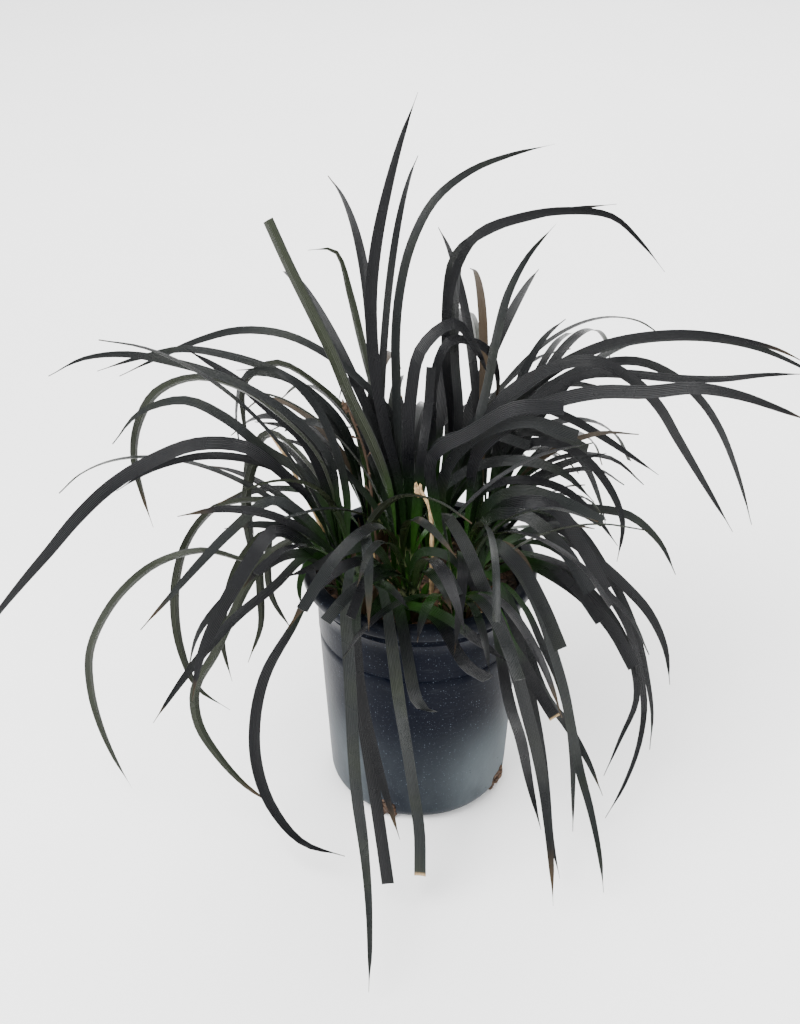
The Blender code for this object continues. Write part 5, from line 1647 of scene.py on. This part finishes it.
@dataclass
class PottingMix:
    """The potting mix: a lumpy surface that fills the pot, with bark chips and straw bits on it."""

    sizes: PotSizes = POT
    rings: int = 46
    spokes: int = 190
    chips: int = 620
    clods_each: int = 46
    seed: int = 5
    lump_scale: float = 0.16
    lump_height: float = 1.1
    corners: int = 6
    edge_room: float = 3.4
    tilt: float = 0.35
    straw_tone: float = 0.86
    straw_sizes: tuple[Point, Point, Point] = ((4.0, 9.0), (0.5, 1.1), (0.35, 0.6))
    chip_sizes: tuple[Point, Point, Point] = ((1.6, 6.0), (0.35, 0.7), (0.5, 1.3))
    crumb_size: Point = (0.8, 2.2)
    crumb_depth: Point = (0.4, 3.4)

    def height(self, x: float, y: float) -> float:
        """Height of the crumbly surface.

        Args:
            x: Place across.
            y: Place in depth.

        Returns:
            The height.
        """
        rough = noise.fractal(Vector((x * self.lump_scale, y * self.lump_scale, 3.0)), 0.8, 2.2, 5)
        rough *= self.lump_height
        reach = math.hypot(x, y) / self.sizes.inner_radius(self.sizes.soil_height)
        return self.sizes.soil_at(x, y) + rough * (1 - reach**10)

    def bed(self) -> bpy.types.Object:
        """The mix itself.

        Returns:
            The piece.
        """
        s = self.sizes
        points: list[Vector] = []
        faces: list[Face] = []
        reach = s.inner_radius(s.soil_height) - s.gap
        for k in range(1, self.rings + 1):
            for i in range(self.spokes):
                a = math.tau * i / self.spokes
                x, y = reach * k / self.rings * math.cos(a), reach * k / self.rings * math.sin(a)
                points.append(Vector((x, y, self.height(x, y))))
        foot = s.wall_radius(s.corner_radius) - s.corner_radius
        bend = s.corner_radius - s.wall - s.gap
        rows = [(s.inner_radius(h) - s.gap, h) for h in (90.0, 60.0, 30.0, s.corner_radius + 4.0)]
        for degrees in (78, 62, 46, 30, 15, 0):
            a = math.radians(degrees)
            rows.append((foot - 0.4 + bend * math.sin(a), s.wall + s.gap + 0.2 + bend * (1 - math.cos(a))))
        for radius, z in rows:
            for i in range(self.spokes):
                a = math.tau * i / self.spokes
                crumb = noise.noise(Vector((math.cos(a) * 16, math.sin(a) * 16, z * 0.5))) * 0.5
                dip = radius - 0.6 + min(0.5, crumb)
                points.append(Vector((dip * math.cos(a), dip * math.sin(a), z)))
        total = self.rings + len(rows)
        for k in range(total - 1):
            for i in range(self.spokes):
                j = (i + 1) % self.spokes
                a, b = k * self.spokes, (k + 1) * self.spokes
                faces.append((a + i, a + j, b + j, b + i))
        points.append(Vector((0.0, 0.0, self.height(0.0, 0.0))))
        faces += [(len(points) - 1, i, (i + 1) % self.spokes) for i in range(self.spokes)]
        faces.append(tuple((total - 1) * self.spokes + i for i in range(self.spokes)))
        return piece_from("fine_mix", points, faces, MixFinish())

    def bits(self) -> bpy.types.Object:
        """Bark chips, crumbs and straw bits lying in the surface.

        Returns:
            The piece.
        """
        rng = random.Random(self.seed)
        points: list[Vector] = []
        faces: list[Face] = []
        tones: list[float] = []
        reach = self.sizes.inner_radius(self.sizes.soil_height) - self.edge_room
        for _ in range(self.chips):
            radius, bearing = reach * math.sqrt(rng.random()), rng.uniform(0, math.tau)
            x, y = radius * math.cos(bearing), radius * math.sin(bearing)
            tone = rng.random()
            straw = tone > self.straw_tone
            lengths, widths, depths = self.straw_sizes if straw else self.chip_sizes
            long = rng.uniform(*lengths)
            wide = rng.uniform(*widths) * (1.0 if straw else long)
            thick = rng.uniform(*depths)
            long = min(long, 2 * (reach + 2.6 - radius) + 1.5)
            turn = Matrix.Rotation(rng.uniform(0, math.tau), 3, "Z")
            turn = turn @ Matrix.Rotation(rng.uniform(-self.tilt, self.tilt), 3, "Y")
            start = len(points)
            centre = Vector((x, y, self.height(x, y) + thick * 0.3))
            for level in (-1, 1):
                for k in range(self.corners):
                    a = math.tau * k / self.corners + rng.uniform(-0.25, 0.25)
                    size = 1.0 if level < 0 else rng.uniform(0.65, 0.95)
                    spot = Vector((math.cos(a) * long * size, math.sin(a) * wide * size, level * thick)) / 2
                    points.append(centre + turn @ spot)
                    tones.append(tone)
            ring = range(start, start + self.corners)
            for k in range(self.corners):
                a, b = ring[k], ring[(k + 1) % self.corners]
                faces.append((a, b, b + self.corners, a + self.corners))
            faces += [tuple(reversed(ring)), tuple(k + self.corners for k in ring)]
        return piece_from("bark_chips", points, faces, ChipFinish(), {"tone": tones}, smooth=False)

    def clods(self) -> bpy.types.Object:
        """Crumbs of mix that fill the drainage holes and stick out of them a little.

        Returns:
            The piece.
        """
        s = self.sizes
        rng = random.Random(self.seed + 1)
        points: list[Vector] = []
        faces: list[Face] = []
        tones: list[float] = []
        for i in range(s.drain_count * self.clods_each):
            angle = math.radians(s.drain_first + 360.0 / s.drain_count * (i % s.drain_count))
            angle += rng.uniform(-0.5, 0.5) * (s.drain_width - 4.0) / s.base_radius
            height = 1.6 + s.drain_height * rng.random() ** 1.3
            size = rng.uniform(*self.crumb_size)
            radius = s.base_radius - rng.uniform(*self.crumb_depth)
            radius -= 1.2 * (height < s.corner_radius * 0.6)
            lump = bmesh.new()
            bmesh.ops.create_icosphere(lump, subdivisions=2, radius=1.0)
            spot = Vector((radius * math.cos(angle), radius * math.sin(angle), height))
            start = len(points)
            for vert in lump.verts:
                bump = 1.0 + 0.5 * noise.noise(vert.co * 1.7 + spot)
                points.append(spot + vert.co * size * bump)
                points[-1].z = max(points[-1].z, 0.5)
                tones.append(0.3 * rng.random() + 0.08 * size)
            faces += [tuple(start + v.index for v in face.verts) for face in lump.faces]
            lump.free()
        return piece_from("drain_crumbs", points, faces, ChipFinish(), {"tone": tones})

    def build(self) -> None:
        """Makes the mix, its bits and the crumbs in the drainage holes."""
        seat(self.bed(), "potting_mix", "potting_soil")
        seat(self.bits(), "potting_mix")
        seat(self.clods(), "potting_mix")


@dataclass(frozen=True)
class BladeLook:
    """Sizes and odds of the fine leaves, in millimetres and shares of a leaf."""

    wide_half: float = 2.2
    groove: float = 0.05
    rib_rate: float = 3.0
    edge_loss: float = 0.6
    root_width: float = 0.52
    root_end: float = 0.38
    facing_start: float = 0.25
    greens: Point = (0.9, 0.35)
    green_odds: float = 0.45
    brown_tips: tuple[float, ...] = (0.0, 0.0, 0.03, 0.06, 0.12)
    dead_odds: float = 0.035
    dead_tone: float = 0.8
    pale_end_odds: float = 0.22
    end_tones: Point = (0.9, 0.25)
    end_length: float = 1.6
    end_rate: float = 1.6
    flutter: float = 0.14
    flutter_length: float = 26.0
    flutter_rate: float = 4.0
    point_start: float = 0.93
    point_length: float = 0.07
    point_width: float = 0.16


@dataclass(frozen=True)
class SheathLook:
    """Sizes of a tuft's fine crown and of the sheaths round it, in millimetres."""

    core_heights: tuple[float, ...] = (-8.0, -2.0, 3.0, 9.0, 15.0, 19.0)
    core_radii: tuple[float, ...] = (5.5, 6.2, 6.0, 5.0, 3.6, 1.6)
    core_sides: int = 14
    shake: float = 0.25
    lean: Point = (1.5, 4.5)
    tall: Point = (12.0, 25.0)
    width: Point = (4.2, 6.0)
    dry_tone: float = 0.8


BLADE = BladeLook()
SHEATH = SheathLook()


@dataclass
class LeafTuft:
    """One tuft: its fine leaves, each a thin channelled blade, with sheaths round a small crown."""

    tuft: Tuft
    shapes: list[Shape]
    seed: int
    refine: int = 4
    rows: int = 9
    cup: float = 0.34
    skin: float = 0.24
    sheaths: int = 9
    facing: float = 0.6
    most_turn: float = math.radians(55)
    green_reach: float = 56.0
    green_fade: float = 48.0
    points: list[Vector] = field(default_factory=list)
    faces: list[Face] = field(default_factory=list)
    values: dict[str, list[float]] = field(default_factory=dict)

    KEYS = ("along", "across", "under", "tone", "green", "dry", "cut_end")

    def record(self, **numbers: float) -> None:
        """Keeps the numbers of one point."""
        for key in self.KEYS:
            self.values.setdefault(key, []).append(numbers.get(key, 0.0))

    def ring(self, centre: Vector, across: Vector, below: Vector, half: float, thin: float) -> list[Vector]:
        """One cross-section: a shallow channel above and a midrib below.

        Args:
            centre: The middle of the upper side.
            across: The direction across.
            below: The direction of the underside.
            half: Half the width.
            thin: The midrib's depth.

        Returns:
            The points, across the top and back along the underside.
        """
        made: list[Vector] = []
        for k in range(self.rows):
            t = 2 * k / (self.rows - 1) - 1
            dip = self.cup * (1 - abs(t) ** 1.5) * min(1.0, half / BLADE.wide_half)
            dip += BLADE.groove * (1 - t * t) * (k % 2)
            made.append(centre + across * (half * t) + below * dip)
        for k in range(self.rows - 2, 0, -1):
            t = 2 * k / (self.rows - 1) - 1
            rib = (thin - self.cup - self.skin) * max(0.0, 1 - abs(t) * BLADE.rib_rate)
            dip = self.cup * (1 - abs(t) ** 1.5) * min(1.0, half / BLADE.wide_half)
            dip += self.skin * (1 - BLADE.edge_loss * t * t) + max(0.0, rib)
            made.append(centre + across * (half * t) + below * dip)
        return made

    @staticmethod
    def narrowing(share: float) -> float:
        """How much narrower a leaf is near its root than its solid one.

        Args:
            share: How far along the leaf.

        Returns:
            The factor of its width.
        """
        t = min(1.0, share / BLADE.root_end)
        return BLADE.root_width + (1 - BLADE.root_width) * t * t * (3 - 2 * t)

    def facing_turns(self, line: list[Vector], sides: list[Vector]) -> list[float]:
        """How far to turn a traced leaf's section towards the side that the picture was taken from.

        Args:
            line: The leaf's centre line.
            sides: The direction across at each station.

        Returns:
            A smooth run of angles about the leaf, in radians.
        """
        angles: list[float] = []
        last = len(line) - 1
        before = 0.0
        for i, across in enumerate(sides):
            along = (line[min(i + 1, last)] - line[max(i - 1, 0)]).normalized()
            seen = (line[i] - PICTURE.eye()).cross(along).normalized()
            angle = math.atan2(across.cross(seen).dot(along), across.dot(seen))
            angle += math.pi * round((before - angle) / math.pi)
            before = angle
            angles.append(angle)
        outer = sorted(angles[last // 3 :])
        shift = math.pi * round(outer[len(outer) // 2] / math.pi)
        turns: list[float] = []
        for i, angle in enumerate(angles):
            share = self.facing * min(1.0, i / last / BLADE.facing_start)
            turns.append(max(-self.most_turn, min(self.most_turn, (angle - shift) * share)))
        return turns

    def add_leaf(self, shape: Shape, rng: random.Random) -> None:
        """Adds a leaf that follows its solid one.

        Args:
            shape: The solid leaf.
            rng: The seeded numbers.
        """
        count = (len(shape.points) - 1) * self.refine
        line = spline(shape.points, count)
        steps = len(shape.points) - 1
        backs = shape.backs()
        tone, green = rng.random(), BLADE.greens[rng.random() >= BLADE.green_odds]
        tip = rng.choice(BLADE.brown_tips) if not shape.cut else 0.0
        dead = BLADE.dead_tone if rng.random() < BLADE.dead_odds and not shape.traced else 0.0
        end_tone = BLADE.end_tones[rng.random() >= BLADE.pale_end_odds]
        length = sum((q - p).length for p, q in zip(line, line[1:]))
        first = len(self.points)
        size = 2 * self.rows - 2
        wave, flutter = rng.uniform(0, math.tau), rng.uniform(0.0, BLADE.flutter)
        spots = [min(steps - 1, i * steps // count) for i in range(count + 1)]
        parts = [i * steps / count - spot for i, spot in enumerate(spots)]
        sides, unders = (
            [way[spot].lerp(way[spot + 1], part).normalized() for spot, part in zip(spots, parts)]
            for way in (shape.side, backs)
        )
        turns = self.facing_turns(line, sides)
        for i, (centre, across, below) in enumerate(zip(line, sides, unders)):
            share = i / count
            if shape.traced:
                turn = Matrix.Rotation(turns[i], 3, line[min(i + 1, count)] - line[max(i - 1, 0)])
                across, below = turn @ across, turn @ below
            sway = flutter * math.sin(share * length / BLADE.flutter_length + wave)
            sway *= min(1.0, share * BLADE.flutter_rate)
            across, below = (across + below * sway).normalized(), (below - across * sway).normalized()
            half = shape.width_at(share) / 2 * self.narrowing(share)
            if not shape.cut and share > BLADE.point_start:
                half *= max(BLADE.point_width, (1 - share) / BLADE.point_length)
            for k, point in enumerate(self.ring(centre, across, below, half, LEAF.keel)):
                self.points.append(point)
                place = 2 * k / (self.rows - 1) - 1 if k < self.rows else 2 * (size - k) / (self.rows - 1) - 1
                end = max(0.0, 1 - (1 - share) * length / BLADE.end_length) if shape.cut else 0.0
                brown = dead or (min(1.0, max(0.0, (share - 1 + tip) / tip * 2)) if tip else 0.0)
                self.record(
                    along=share,
                    across=place,
                    under=0.0 if k < self.rows else 1.0,
                    tone=tone,
                    green=green * max(0.0, min(1.0, (self.green_reach - share * length) / self.green_fade)),
                    dry=brown,
                    cut_end=min(1.0, end * BLADE.end_rate) * end_tone,
                )
        for i in range(count):
            a, b = first + i * size, first + (i + 1) * size
            self.faces += [(a + k, a + (k + 1) % size, b + (k + 1) % size, b + k) for k in range(size)]
        self.faces.append(tuple(first + k for k in reversed(range(size))))
        self.faces.append(tuple(first + count * size + k for k in range(size)))

    def add_crown(self, rng: random.Random) -> None:
        """Adds the small crown and the short sheaths round it.

        Args:
            rng: The seeded numbers.
        """
        x, y = CROWNS[self.tuft]
        top = POT.soil_at(x, y)
        middle = [Vector((x, y, top + z)) for z in SHEATH.core_heights]
        core = tube(middle, SHEATH.core_radii, SHEATH.core_sides)
        add_part(self.points, self.faces, core)
        for _ in core[0]:
            self.record(along=0.12, tone=0.4, green=0.5)
        for i in range(self.sheaths):
            bearing = math.tau * i / self.sheaths + rng.uniform(-SHEATH.shake, SHEATH.shake)
            lean = rng.uniform(*SHEATH.lean)
            tall = rng.uniform(*SHEATH.tall)
            out = Vector((math.cos(bearing), math.sin(bearing), 0.0))
            line = [
                Vector((x, y, top - 3.0)) + out * 5.4,
                Vector((x, y, top + tall * 0.35)) + out * 6.4,
                Vector((x, y, top + tall * 0.7)) + out * (6.4 + lean * 0.4),
                Vector((x, y, top + tall)) + out * (6.2 + lean),
            ]
            side = [Vector((-out.y, out.x, 0.0))] * 4
            husk = Shape(self.tuft, line, side, rng.uniform(*SHEATH.width), False)
            start = len(self.points)
            self.add_leaf(husk, rng)
            pale = rng.random()
            for k in range(start, len(self.points)):
                self.values["along"][k] = 0.04 + 0.22 * self.values["along"][k] + 0.05 * pale
                self.values["green"][k] = 1.0
                self.values["dry"][k] = 1.0 if pale > SHEATH.dry_tone else 0.0

    def build(self) -> bpy.types.Object:
        """Makes the tuft.

        Returns:
            The piece.
        """
        rng = random.Random(self.seed)
        for shape in self.shapes:
            self.add_leaf(shape, rng)
        self.add_crown(rng)
        name = "leaves_" + self.tuft.value.removeprefix("tuft_")
        piece = piece_from(name, self.points, self.faces, LeafFinish(), self.values)
        seat(piece, "leaf", self.tuft.value)
        return piece


@dataclass
class DryPiece:
    """A dead stalk or straw, with the short stalks and husks that its flowers left."""

    dry: Dry
    seed: int
    husks: int = 0
    stations: int = 40
    sides: int = 12
    spiral: float = math.radians(137.5)
    thinning: float = 0.35
    flower_places: Point = (0.45, 0.96)
    flower_length: float = 4.5
    flower_shares: tuple[float, ...] = (0.0, 0.55, 0.8, 1.0)
    flower_radii: tuple[float, ...] = (0.4, 0.38, 0.7, 0.5)
    husk_drop: float = 6.0
    husk_line: tuple[Point, ...] = ((0.0, 0.0), (1.2, 1.6), (1.6, 4.2))
    husk_radii: tuple[float, ...] = (0.5, 1.0, 0.25)

    def build(self) -> bpy.types.Object:
        """Makes the dry piece.

        Returns:
            The piece.
        """
        rng = random.Random(self.seed)
        line = spline([Vector(p) for p in self.dry.path], 8)
        fine = spline(line, self.stations)
        radii = [
            self.dry.radius
            * (1 - self.thinning * i / self.stations)
            * (0.86 + 0.13 * math.sin(i * 0.9) + rng.uniform(-0.06, 0.06))
            for i in range(self.stations + 1)
        ]
        points, faces = tube(fine, radii, self.sides)
        low, high = self.flower_places
        for i in range(self.dry.pedicels):
            share = low + (high - low) * i / (self.dry.pedicels - 1)
            at = fine[min(self.stations, round(share * self.stations))]
            turn = self.spiral * i
            out = Vector((math.cos(turn), math.sin(turn), 0.5)) * self.flower_length
            stub = [at + out * share for share in self.flower_shares]
            add_part(points, faces, tube(stub, self.flower_radii, 8))
        for i in range(self.husks):
            turn, lift = self.spiral * i, 0.9 * (i % 5)
            out = Vector((math.cos(turn), math.sin(turn), 0.0))
            foot = fine[-1] - Vector((0.0, 0.0, self.husk_drop - lift))
            husk = [foot + out * reach + Vector((0.0, 0.0, rise)) for reach, rise in self.husk_line]
            add_part(points, faces, tube(husk, self.husk_radii, 8))
        if self.dry.tint is Tint.STALK:
            finish = DryFinish("dead_stalk", (0.085, 0.048, 0.026), (0.028, 0.016, 0.010))
            slot = "dry_stalk"
        else:
            finish, slot = DryFinish(), "dry_straw"
        piece = piece_from("fine_" + self.dry.name, points, faces, finish)
        seat(piece, slot, self.dry.name)
        return piece


HUSKS: dict[str, int] = {"dry_straw_middle": 15, "spent_flower_stalk": 6}


@dataclass(frozen=True)
class Studio:
    """The pale floor, soft lights and the camera of the reference picture."""

    floor_size: float = 6.0
    sky: float = 1.45
    lights: tuple[tuple[str, Triple, float, float], ...] = (
        ("key", (-0.9, -0.7, 1.7), 1.5, 95.0),
        ("fill", (1.1, -1.2, 0.9), 1.2, 20.0),
        ("back", (0.3, 1.3, 1.3), 1.2, 34.0),
    )

    def light(self, name: str, place: Triple, size: float, power: float) -> None:
        """Adds a square area light that looks at the plant.

        Args:
            name: Its name.
            place: Where it stands, in metres.
            size: Its side, in metres.
            power: Its power, in watts.
        """
        lamp = bpy.data.lights.new(name, "AREA")
        lamp.size, lamp.energy = size, power
        holder = bpy.data.objects.new(name, lamp)
        holder.location = place
        aim = Vector((0.0, 0.0, 0.16)) - Vector(place)
        holder.rotation_euler = aim.to_track_quat("-Z", "Y").to_euler()
        bpy.context.scene.collection.objects.link(holder)

    def build(self) -> None:
        """Adds the floor, the lights, the sky and the camera."""
        half = self.floor_size / 2 * 1000
        corners = [Vector((x * half, y * half, -0.05)) for x, y in ((-1, -1), (1, -1), (1, 1), (-1, 1))]
        floor = piece_from("floor", corners, [(0, 1, 2, 3)], FloorFinish(), smooth=False)
        for settings in self.lights:
            self.light(*settings)
        world = bpy.data.worlds.new("sky")
        world.use_nodes = True
        backdrop = world.node_tree.nodes["Background"]
        backdrop.inputs["Color"].default_value = (1.0, 1.0, 1.0, 1.0)
        backdrop.inputs["Strength"].default_value = self.sky
        bpy.context.scene.world = world
        lens = bpy.data.cameras.new("camera")
        lens.sensor_width = PICTURE.film
        lens.lens = PICTURE.lens / PICTURE.long_side * PICTURE.film
        camera = bpy.data.objects.new("camera", lens)
        camera.location = PICTURE.eye() * MM
        camera.rotation_euler = (math.pi / 2 - PICTURE.elevation, 0.0, 0.0)
        bpy.context.scene.collection.objects.link(camera)
        bpy.context.scene.camera = camera


def main() -> None:
    """Builds the studio, the pot, the mix, the tufts and the dry pieces, in that order."""
    logging.basicConfig(level=logging.INFO, format="%(name)s %(message)s")
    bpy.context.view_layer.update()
    Studio().build()
    NurseryPot().build()
    PottingMix().build()
    leaves = LeafGrower().grow()
    LOG.info("%d leaves", len(leaves))
    for seed, tuft in enumerate(CROWNS, start=1):
        LeafTuft(tuft, [leaf for leaf in leaves if leaf.tuft is tuft], seed).build()
    for seed, dry in enumerate(DRY_PIECES, start=1):
        DryPiece(dry, seed, HUSKS.get(dry.name, 0)).build()


if __name__ == "__main__":
    main()
